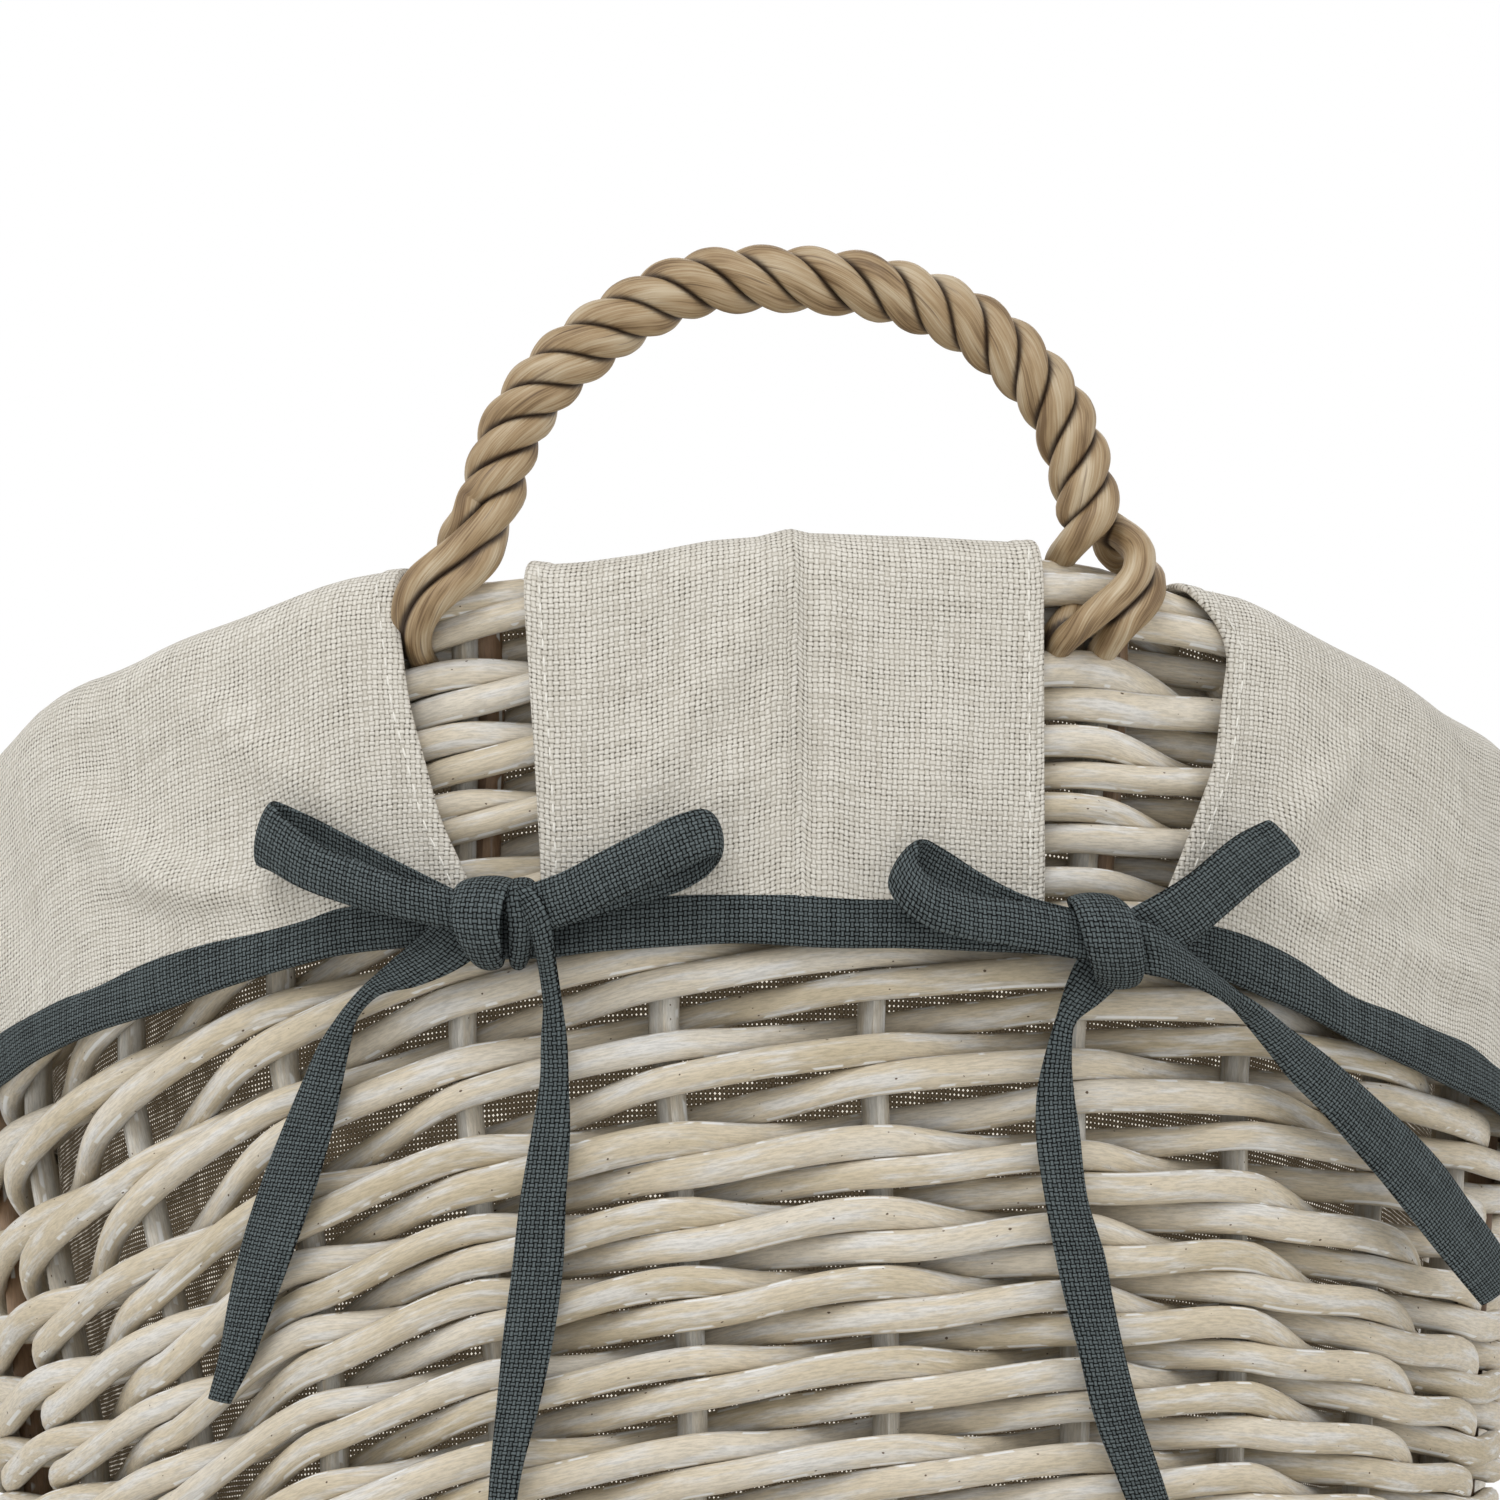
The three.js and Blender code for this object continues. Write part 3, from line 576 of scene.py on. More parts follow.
weave_nodes = [f"weave_row_{row:02d}" for row in range(1, 14)] + ["inner_weave"]
steps = WEAVE_STAKES * WEAVE_STEPS + 1
gone = np.linspace(0, WEAVE_STAKES, steps)
angle = 2 * np.pi * gone / 3
row = np.clip(gone / 3, WEAVE_LOWEST, WEAVE_HIGHEST)
thin = np.clip(row - WEAVE_THIN_FROM, 0, 1) * np.clip(WEAVE_THIN_TO - row, 0, 1)
from_back = np.abs((gone + 1.5) % 3 - 1.5)
packed = np.clip((1 - from_back) / 0.5, 0, 1)
pack = (WEAVE_PACK + WEAVE_THIN_PACK * thin) * packed ** 2 * (3 - 2 * packed)
reach = WEAVE_REACH * (0.333 - 1.075 * np.cos(angle) - 0.258 * np.cos(2 * angle))
weaver_grids = []
for weaver in range(STAKE_COUNT):
    turn = (weaver - 0.5 + gone) / STAKE_COUNT
    pitch = slot_height(np.ceil(row), turn) - slot_height(np.ceil(row) - 1, turn)
    thickness = np.minimum(WEAVER_HIGH - WEAVER_THINNER * thin, pitch / 2)
    upright = thickness * (1 + smooth_wander(30, steps, 0.05))
    lift = WEAVE_WAVE + (thickness - pitch / 3) / ROOT_THREE
    height = slot_height(row, turn) + WEAVE_WAVE * np.sin(angle) + lift * np.sin(2 * angle)
    height = height - pack + smooth_wander(26, steps, 0.28)
    across = WEAVER_THROUGH * (1 + smooth_wander(30, steps, 0.04))
    out = reach + smooth_wander(30, steps, 0.2)
    weaver_grids.append(wall_rod(turn, height, out, across, upright, WEAVE_LAY_STEP * weaver))
weaver_lines = [grid[0].mean(axis=1) for grid in weaver_grids]
for weaver, grid in enumerate(weaver_grids):
    piece = make_piece(f"weaver_{weaver + 1:02d}", [grid], willow, weave_nodes)
    # Each weaver keeps how close the others come, for the painted shade where they touch.
    mark_contact(piece, weaver_lines[:weaver] + weaver_lines[weaver + 1:],
                 WEAVER_TOUCHES, WEAVER_SHADE_REACH)

# Border: the stakes' ends, bent down to the right and plaited along the rim. Each passes low
# behind the next stake, comes out, climbs over the outside, crosses the top and ends inside.
BORDER_ROD = 6.5
BORDER_STEPS = 90
BORDER_LAY_STEP = 6000
BORDER_KNOTS = [-0.35, 0.1, 0.62, 1.1, 1.5, 1.85, 2.2, 2.62, 3.1, 3.62, 4.1, 4.62, 5.1, 5.5]
BORDER_DROPS = [15, 17, 18.4, 17.3, 15, 13, 11, 8.5, 6.2, 4.7, 4.2, 4.7, 7, 10]
BORDER_OUTS = [0.5, -4.5, -7, -6, -2, 4, 8.4, 8.8, 7.2, 4, 0.6, -2.8, -6, -7.4]


def eased(place, knots, values):
    """Values between knots on smooth slopes: a straight-line table, averaged over a window
    of a third of a stake's spacing."""
    window = np.linspace(-0.17, 0.17, 9)
    return np.mean([np.interp(place + shift, knots, values) for shift in window], axis=0)


border_grids = []
gone = np.linspace(BORDER_KNOTS[0], BORDER_KNOTS[-1], BORDER_STEPS)
drop = eased(gone, BORDER_KNOTS, BORDER_DROPS)
out = eased(gone, BORDER_KNOTS, BORDER_OUTS)
for rod in range(STAKE_COUNT):
    turn = (rod - 0.5 + gone) / STAKE_COUNT
    uneven = 1 + smooth_wander(8, BORDER_STEPS, 0.03)
    thickness = BORDER_ROD * (1 - 0.06 * (gone - 1.5) / 4) * uneven
    border_grids.append(wall_rod(turn, rim_height(turn) - drop, out, thickness, thickness,
                                 BORDER_LAY_STEP * rod + 300))
make_piece("border_rods", border_grids, willow, ["top_border"])

# Handles: each a rope of three tan willow rods, twisted while wet round each other into an arch,
# tighter in the legs than at the top. At the feet the strands part: some pass over the border's
# outside and tuck into the gap below it, and the others go down behind its top rods.
ROPE_STRAND = 6.9
ROPE_HELIX = 3.9
ROPE_SPACING = 0.8
ROPE_LAY_STEP = 900
ROPE_SPIRAL = 0.16
ROPE_SHADE_REACH = 1.6
ROPE_FAR_LAY_SHIFT = 5000
ARCH_ROUTE = [(-63.3, 272.6), (-61.5, 279), (-59.2, 286.2), (-55.8, 292.8), (-50.3, 299.5),
              (-43, 306.2), (-35.6, 311.8), (-27, 316.8), (-18, 320), (-6, 321),
              (7, 320.7), (16, 319.9), (24, 318.4), (31.2, 316), (39, 312.5), (46.8, 307.2),
              (53.4, 301), (58, 294.9), (61.2, 288.1), (63.4, 281.5), (65, 273.5)]
ARCH_Y = -213
ARCH_LEAN = 6
ROPE_TURNS = 2040 / 360
ROPE_LEG_TURNS = 1 / 3
STRAND_PHASES = [150, 270, 30]
LEFT_ENDS = [
    [(-66, -11.3, 9.5), (-69.5, -8.7, 6.5), (-71.6, -6, 2), (-72.5, -1, -2)],
    [(-66.3, -3.7, 14.5), (-70.6, -0.3, 15.5), (-74.2, 2.8, 16), (-76.5, 5.9, 15.5),
     (-77.9, 8.8, 13.5), (-79.1, 11.8, 9.5), (-80.2, 14.2, 4)],
    [(-61.2, -6.1, 8), (-61.9, -1.9, 11), (-64.8, 2.3, 13.5), (-68.4, 5.6, 15.5),
     (-71.4, 8.4, 16), (-74.2, 11.5, 14.5), (-76.4, 14.6, 10.5), (-77.6, 17, 5), (-78, 18.6, 0)],
]
RIGHT_ENDS = [
    [(70.2, -7, 1.5), (73, -4.4, -1.5), (77, -2.6, -1), (78.8, -0.5, 4), (76.9, 3.2, 10.5),
     (74.7, 7.5, 14.5), (72.1, 11.2, 15.8), (69.3, 14.4, 15.5), (68, 16.8, 12), (68.3, 18, 6.5),
     (70, 18, 0)],
    [(71.3, -7.8, 3), (73.3, -3.8, 9), (72.9, 0.2, 13.5), (71.1, 4.5, 16), (67.2, 9.4, 16.5),
     (63, 13.1, 16.3), (59.8, 16.3, 15), (58, 18.3, 11.5), (57.8, 19.3, 6.5), (58.6, 19.4, 0)],
    [(64.4, -7.4, 12), (61.6, -3.8, 11), (60, -1, 7), (60, 1, 1), (61.5, 4, -3),
     (63, 7.4, -1.5), (63, 10.4, 4), (59.8, 13.5, 8), (57.6, 16.3, 8), (57.5, 18.1, 3),
     (58.5, 19, -2)],
]


def rim_place(places):
    """Places on the wall for rows of (along the rim, below it, out), in millimetres."""
    places = np.asarray(places, float)
    turn = places[..., 0] / rim["length"]
    return wall(turn, rim_height(turn) - places[..., 1], places[..., 2])


def unit(vectors):
    """The vectors, each divided by its own length."""
    return vectors / np.linalg.norm(vectors, axis=-1, keepdims=True)


def through(points, spacing):
    """A smooth line through points: cubics in the distance along the chords, whose slopes at
    the points are three-point differences, sampled evenly."""
    points = np.asarray(points, float)
    steps = np.linalg.norm(np.diff(points, axis=0), axis=1)
    chord = np.concatenate([[0], np.cumsum(steps)])
    slope = np.gradient(points, chord, axis=0)
    fine = np.linspace(0, chord[-1], max(8, int(chord[-1] / spacing)))
    i = np.clip(np.searchsorted(chord, fine, side="right") - 1, 0, len(steps) - 1)
    h = steps[i][:, None]
    t = ((fine - chord[i]) / steps[i])[:, None]
    return ((2 * t**3 - 3 * t**2 + 1) * points[i] + (t**3 - 2 * t**2 + t) * h * slope[i]
            + (3 * t**2 - 2 * t**3) * points[i + 1] + (t**3 - t**2) * h * slope[i + 1])


def twisted_willow(name, pale, tan, dark):
    """Peeled willow left its own tan colour and twisted wet: a satin wood with fibres that
    wind slightly round the rod, a pale bloom in patches, fine dark cracks, and a nearly black
    painted shade where the rods touch."""
    material, shader, add = new_material(name, {"Roughness": 0.5})
    place = add("UVMap", uv_map="lay")
    fibres = drawn_out(add, place, 60, 2300, 4, 0.62)
    bloom = drawn_out(add, place, 55, 230, 3)
    tone = add("Math", {
        0: add("Math", {0: fibres, 1: 0.4}, operation="MULTIPLY"),
        1: add("Math", {0: bloom, 1: 0.6}, operation="MULTIPLY"),
    }, operation="ADD")
    wood = add("ValToRGB", {0: tone})
    ramp = wood.node.color_ramp.elements
    ramp[0].position, ramp[0].color = 0.38, linear(dark)
    ramp[1].position, ramp[1].color = 0.64, linear(pale)
    ramp.new(0.49).color = linear(tan)
    cracks = add("MapRange", {
        0: drawn_out(add, place, 55, 900, 2), 1: 0.3, 2: 0.36, 3: 0.55, 4: 0,
    })
    cracked = add("Mix", {0: cracks, 6: wood, 7: linear("#4E3825")}, output=2, data_type="RGBA")
    # Painted shade, nearly black, where the rope's strands touch.
    crevice_shaded = touch_shaded(add, cracked, "#33241A", 0.1, 0.85, 0.92)
    fill(shader, {"Base Color": crevice_shaded, "Normal": add("Bump", {
        "Strength": 0.5, "Distance": 0.0004, "Height": fibres,
    })})
    return material


rope_willow = twisted_willow("tan_rope_willow", "#C4B499", "#A18865", "#6E5536")
arch = through([(x, ARCH_Y, z) for x, z in ARCH_ROUTE], 2.8)
arch[:, 1] -= ARCH_LEAN * np.sin(np.linspace(0, np.pi, len(arch)))
arch_run = unit(np.gradient(arch, axis=0))
arch_up = np.stack([-arch_run[:, 2], 0 * arch_run[:, 1], arch_run[:, 0]], -1)
arch_front = np.cross(arch_run, arch_up)
arch_gone = gone_along(arch)
arch_gone /= arch_gone[-1]
from_top = arch_gone - 0.5
tighter = ROPE_LEG_TURNS * np.sign(from_top) * np.clip((np.abs(from_top) - 0.1) / 0.4, 0, 1)
strand_lines = []
for phase, left_end, right_end in zip(STRAND_PHASES, LEFT_ENDS, RIGHT_ENDS):
    wind = np.radians(phase) + 2 * np.pi * (ROPE_TURNS * arch_gone + tighter)[:, None]
    helix = arch + ROPE_HELIX * (np.cos(wind) * arch_up + np.sin(wind) * arch_front)
    strand_lines.append(through(np.concatenate([
        rim_place(left_end[::-1]), helix, rim_place(right_end),
    ]), ROPE_SPACING))
for strand, line in enumerate(strand_lines):
    run = unit(np.gradient(line, axis=0))
    risen = np.maximum(line[:, 2] - END_HEIGHT, 0)
    away = unit(np.stack([line[:, 0], 0 * line[:, 1], risen], -1))
    side = unit(away - np.sum(away * run, axis=1, keepdims=True) * run)
    other = np.cross(run, side)
    angle = ring_angles(20)[None, :, None]
    gone = np.arange(len(line)) * ROPE_SPACING
    swell = 1 + 0.035 * np.sin(gone / 9.7 + 2 * strand) + 0.02 * np.sin(gone / 3.1 + strand)
    swell *= 0.86 + 0.14 * np.clip(np.minimum(gone, gone[::-1]) / 45, 0, 1)
    ring = np.cos(angle) * side[:, None] + np.sin(angle) * other[:, None]
    tube = line[:, None] + ROPE_STRAND / 2 * swell[:, None, None] * ring
    around = np.linspace(0, ROD_GIRTH, 21) + ROPE_SPIRAL * gone[:, None]
    lay = side_by_side(gone[:, None] + ROPE_LAY_STEP * strand, around)
    others = strand_lines[:strand] + strand_lines[strand + 1:]
    for end, spin, lay_shift in (("front", 1, 0), ("back", -1, ROPE_FAR_LAY_SHIFT)):
        grid = (tube * [spin, spin, 1], lay + [lay_shift, 0], False, True)
        piece = make_piece(f"handle_{end}_strand_{strand + 1}", [grid], rope_willow,
                           [f"handle_{end}"])
        # Each strand keeps how close the others come, for the painted shade where they touch.
        mark_contact(piece, [other_line * [spin, spin, 1] for other_line in others],
                     ROPE_STRAND / 2, ROPE_SHADE_REACH)

# Liner: a bag of plain-woven linen-look cloth. Its oval floor is sewn to the wall, and the
# wall's upper part is what is turned out over the rim. The floor lies on the base mat.
CLOTH = 1.2
LINER_OUT = -12.7
LINER_FLOOR = 14.2
LINER_EDGE_DROP = 4
LINER_CORNER = 3
LINER_WALL_LAY = 235
LINER_FLOOR_STEPS = 30
LINER_WALL_STEPS = 44
THREAD = 1.1
PAINTED_GLOW = 1.0


def plain_weave(name, crown, middle, hole, thread_mm, hole_share, slub, sheen, wavering,
                painted_glow=0):
    """Plain-woven cloth: warp and weft pass over and under each other in a chequer, so every
    crossing shows one thread's crown, and where four threads meet there is a pinhole. Threads
    waver and vary in thickness and tone, as spun yarn does. Shade is painted in the threads'
    valleys, which go from the middle colour to the crown colour on top, and the pinholes take
    the hole colour, painted for what shows through them: shade, and light on a glowing cloth.
    The lay counts millimetres along the two threads, and thread_mm is their real pitch.
    Given a glow, the cloth glows by that much, painted light for daylight behind it: fully in
    the pinholes and a quarter as much through the threads."""
    material, shader, add = new_material(name, {
        "Roughness": 0.92, "Specular IOR Level": 0.15, "Sheen Weight": sheen,
        "Sheen Roughness": 0.6,
    })
    place = add("UVMap", uv_map="lay")
    waver = add("TexNoise", {"Vector": place, "Scale": 130, "Detail": 2}, output=1)
    off_middle = add("VectorMath", {0: waver, 1: (0.5, 0.5, 0.5)}, operation="SUBTRACT")
    shift = add("VectorMath", {0: off_middle, "Scale": wavering * 0.001}, operation="SCALE")
    bent = add("VectorMath", {0: place, 1: shift}, operation="ADD")
    count = 1000 / thread_mm
    threads = add("SeparateXYZ", {
        0: add("VectorMath", {0: bent, "Scale": count * math.pi}, operation="SCALE"),
    }).node.outputs
    wave_u, wave_v = (add("Math", {0: threads[axis]}, operation="SINE") for axis in (0, 1))
    size_u, size_v = (add("Math", {0: wave}, operation="ABSOLUTE") for wave in (wave_u, wave_v))
    over = add("MapRange", {
        0: add("Math", {0: wave_u, 1: wave_v}, operation="MULTIPLY"),
        1: -0.12, 2: 0.12,
    }, interpolation_type="SMOOTHSTEP")
    height = add("Mix", {0: over, 2: size_u, 3: size_v})
    thread_tone = add("Mix", {
        0: over,
        2: drawn_out(add, place, count, count * 0.05, 1),
        3: drawn_out(add, place, count * 0.05, count, 1),
    })
    uneven = add("MapRange", {0: thread_tone, 1: 0.3, 2: 0.7, 3: -slub, 4: slub})
    raised = add("Math", {0: height, 1: uneven}, operation="ADD")
    # Painted shade: the threads are darker in their valleys than on their crowns, besides their own
    # uneven tone.
    yarn = add("Mix", {
        0: add("MapRange", {0: raised, 1: 0.3, 2: 1.05}),
        6: linear(middle), 7: linear(crown),
    }, output=2, data_type="RGBA")
    open_size = add("MapRange", {
        0: add("TexNoise", {"Vector": place, "Scale": count * 0.22, "Detail": 2}),
        1: 0.3, 2: 0.7, 3: hole_share * 0.3, 4: hole_share * 1.7,
    })
    meeting = add("Math", {0: size_u, 1: size_v}, operation="ADD")
    hole_mask = add("MapRange", {
        0: add("Math", {0: meeting, 1: open_size}, operation="SUBTRACT"),
        1: -0.12, 2: 0.22, 3: 0.85, 4: 0.0,
    })
    # The pinholes are painted in the hole colour for what shows through them: painted shade on the
    # linen and the tape, painted light on the liner's back.
    cloth = add("Mix", {0: hole_mask, 6: yarn, 7: linear(hole)}, output=2, data_type="RGBA")
    fill(shader, {"Base Color": cloth, "Normal": add("Bump", {
        "Strength": 0.7, "Distance": thread_mm * 0.0003, "Height": raised,
    })})
    # Painted light: the cloth glows, most in its pinholes, standing for daylight coming through it.
    if painted_glow:
        fill(shader, {"Emission Color": cloth, "Emission Strength": add("MapRange", {
            0: hole_mask, 1: 0.1, 2: 0.85, 3: painted_glow * 0.25, 4: painted_glow,
        })})
    return material


# The linen's dark pinholes and darker thread valleys are painted shade.
linen = plain_weave("linen_look_cloth", "#E0DCD3", "#BAB4A8", "#453F35", THREAD, 0.46, 0.3, 0.1,
                    1.0)
# The liner's outer face, seen only through the weave's slots, is a darker copy of the cloth as
# painted shade, and it glows as painted light in its pinholes and faintly through its threads, for
# daylight coming through from inside.
shaded_linen = plain_weave("liner_back_painted_shade_and_glow", "#7A6D59", "#574B3A", "#FFF8EA", THREAD, 0.5, 0.1, 0.0,
                           0.5, PAINTED_GLOW)
liner_turn = np.linspace(0, 1, 336, endpoint=False)


def liner_face(side):
    """The liner's face on one side of its cloth, from the floor's middle to the rim, and its
    lay: side is 1 outside and -1 inside. The floor grows from its middle as a share of the
    wall's foot, the corner is rounded, and the wall leans in soft folds that shrink towards
    the rim."""
    rise = np.linspace(0, 1, LINER_WALL_STEPS)[None, :]
    turn = liner_turn[:, None]
    top = rim_height(turn) - LINER_EDGE_DROP
    low = LINER_FLOOR - side * CLOTH / 2
    fold = 0.5 + 0.5 * np.sin(2 * np.pi * (9 * turn + 0.35 * np.sin(2 * np.pi * 2 * turn)))
    fold = fold + 0.35 * np.sin(2 * np.pi * (23 * turn + 0.8 * rise))
    swell = -(1.4 * fold + 0.3) * np.sin(np.pi * np.clip(rise * 1.02, 0, 1)) ** 0.7
    corner = -LINER_CORNER * (1 - np.clip(rise * 14, 0, 1)) ** 2
    out = LINER_OUT + side * CLOTH / 2 + swell + corner
    sides = wall(turn, low + (top - low) * rise, out)
    edge = wall(liner_turn, low, LINER_OUT - LINER_CORNER + side * CLOTH / 2)
    shares = np.linspace(0.012, 1, LINER_FLOOR_STEPS)[None, :, None]
    floor_faces = edge[:, None] * shares
    ripple = 0.35 * np.sin(floor_faces[..., 0] / 21) * np.sin(floor_faces[..., 1] / 17)
    floor_faces[..., 2] = low + np.abs(ripple) * (1 - shares[..., 0])
    wall_lay = side_by_side(turn * rim["length"], rise * LINER_WALL_LAY)
    lay = np.concatenate([floor_faces[:, :-1, :2], wall_lay], 1)
    lay = np.concatenate([lay, lay[:1]], 0)
    lay[-1, LINER_FLOOR_STEPS - 1:, 0] = rim["length"]
    return np.concatenate([floor_faces[:, :-1], sides], 1), lay


liner_outside, liner_outside_lay = liner_face(1)
liner_inside, liner_inside_lay = liner_face(-1)
liner_points = np.concatenate([liner_outside, liner_inside[:, ::-1]], 1).transpose(1, 0, 2)
liner_lay = np.concatenate([liner_outside_lay, liner_inside_lay[:, ::-1]], 1).transpose(1, 0, 2)
liner = make_piece("liner", [(liner_points, liner_lay, False, True)], linen,
                   ["liner_bag"])
liner.data.materials.append(shaded_linen)
liner_rows = np.arange(len(liner.data.polygons)) // len(liner_turn)
outside_rows = LINER_FLOOR_STEPS + LINER_WALL_STEPS - 2
liner.data.polygons.foreach_set("material_index", (liner_rows < outside_rows).astype(np.int32))

# Cuffs: the liner's upper part, turned out over the border in four sections. Between the feet
# of each handle hangs a flap of two halves with a seam in its middle, and a long section goes
# round each side. The slits' edges are hemmed and held by a line of white stitches.
CUFF_CROWN = [(-14.3, 9.5), (-14, 5), (-12.5, 2), (-8, 0.3), (0, -0.1), (5, 0.1), (9.6, 1.6),
              (12.3, 4.8), (13.4, 9.5)]
CUFF_HANG_DROPS = [9.5, 20, 45, 62, 85]
CUFF_HANG_OUTS = [13.4, 13.2, 12.9, 13.0, 13.2]
EDGE_COLUMNS = [0, 0.12, 0.4, 0.9, 2.2, 3.7, 4.3, 5.2, 7.5, 10, 12.5]
FLAP_LEFT = [(2, -53.6), (67, -50.6)]
FLAP_RIGHT = [(2, 52.4), (67, 54.5)]
SIDE_START = [(0, 83.6), (1, 84.1), (11, 93.9), (36, 91.8), (66, 81.5), (80, 76)]
SIDE_END = [(0.5, 80.2), (28, 77.6), (54, 71.6), (68, 65.6), (80, 62)]
FLAP_TAPE = [(-62, 79), (-48, 80.4), (-18, 80), (22, 79.4), (55, 79), (68, 79)]
SIDE_TAPE = [(66, 80), (74, 78.5), (80, 77), (88, 76), (97, 76.3), (113, 78.5), (130, 81.3),
             (148, 80.5), (175, 79), (205, 77.7), (265, 75), (324, 73), (385, 71), (433, 69.6),
             (466, 71.5), (504, 73), (530, 74.3), (555, 73.7), (577, 74.4), (589, 77)]
FLAP_SEAM = [(0, 0.8), (75, 4.2)]
FLAP_LIFTS = [(-54, 1.2), (-50, 0.2), (-42, 0), (-30, 1.2), (-16, 2.9), (-6, 3.1), (0.8, 4.6),
              (5, 3.3), (20, 2), (40, 1.1), (50, 1), (55, 2)]
SIDE_LIFTS = [(84, -1.4), (100, 0.9), (115, 0), (140, -1.3), (160, -2.5), (175, -1.5), (200, 0),
              (440, 0), (465, 2.4), (483, 2.4), (500, 0.5), (555, 1.8), (566, 1.8), (580, 0)]
FLAP_FOLDS = [(-3, 8, -14, 34, 4.5, 2.1), (-12, 20, -34, 62, 6, 1.6), (-4, 36, -22, 72, 5, 1.5),
              (12, 10, 22, 50, 6, 1.1), (34, 20, 28, 70, 7, 1.2), (-44, 12, -38, 50, 5, 0.9)]
SIDE_FOLDS = [(98, 60, 128, 24, 4.5, 2.9), (104, 68, 150, 44, 4.5, 3.1),
              (120, 66, 190, 56, 5, 2.4), (160, 20, 200, 48, 8, 1.6), (230, 10, 250, 60, 8, 1.6),
              (300, 62, 360, 30, 8, 1.8), (420, 15, 455, 58, 8, 2), (478, 22, 520, 58, 5, 3.3),
              (492, 45, 548, 66, 4.5, 3.4), (520, 14, 556, 50, 5, 2.6),
              (380, 60, 430, 50, 6, 1.5)]
STITCH_SPACING = 4
STITCH_HALF = 1.35
STITCH_IN = 3.4
STITCH_THREAD = 0.24
OPPOSITE = {"front": "back", "right": "left", "front_left": "back_right",
            "front_right": "back_left"}
FAR_LAY_SHIFT = 1700


def table(place, rows):
    """A line through rows of (place, value), softened over a window of 8 mm."""
    places, values = np.array(rows, float).T
    return np.mean([np.interp(place + shift, places, values) for shift in (-4, -2, 0, 2, 4)], 0)


def folds(along, drop, rows):
    """How far folds lift the cloth. Each row is a ridge between two places on the wall, with
    its width and height, and falls off as a bell from the line between them."""
    lift = 0 * (along + drop)
    for start, start_drop, end, end_drop, width, height in rows:
        run, fall = end - start, end_drop - start_drop
        share = ((along - start) * run + (drop - start_drop) * fall) / (run**2 + fall**2)
        share = np.clip(share, 0, 1)
        gap = np.hypot(along - start - share * run, drop - start_drop - share * fall)
        lift = lift + height * np.exp(-(gap / width) ** 2) * np.sin(np.pi * (0.12 + 0.76 * share))
    return lift


def flap_relief(along, drop):
    """The flap's folds, with the seam as a narrow ridge and the cloth puffed on both sides."""
    from_seam = along - table(drop, FLAP_SEAM)
    pucker = 1 + 0.35 * np.sin(drop / 1.9) * np.sin(drop / 7.3 + 1)
    ridge = 0.9 * np.exp(-(from_seam / 0.8) ** 2)
    trough = 0.55 * np.exp(-((np.abs(from_seam) - 1.9) / 1.1) ** 2)
    puff = 0.95 * pucker * np.exp(-((np.abs(from_seam) - 6) / 4) ** 2)
    return folds(along, drop, FLAP_FOLDS) + (ridge - trough) + puff


def side_relief(along, drop):
    """The long sections' folds, which run up from the bows, on a slow swell."""
    swell = 0.5 * np.sin(along / 17 + drop / 30) + 0.3 * np.sin(along / 7.1 - drop / 13)
    return folds(along, drop, SIDE_FOLDS) + swell * np.clip(drop / 20, 0, 1)


def hanging(along, drop, relief):
    """How far out the middle of a cuff's cloth is where it hangs on the wall. The tape holds
    it flat, so its folds fade out above the hem."""
    held = np.interp(drop, [60, 72], [1, 0.25])
    return np.interp(drop, CUFF_HANG_DROPS, CUFF_HANG_OUTS) + held * relief(along, drop)


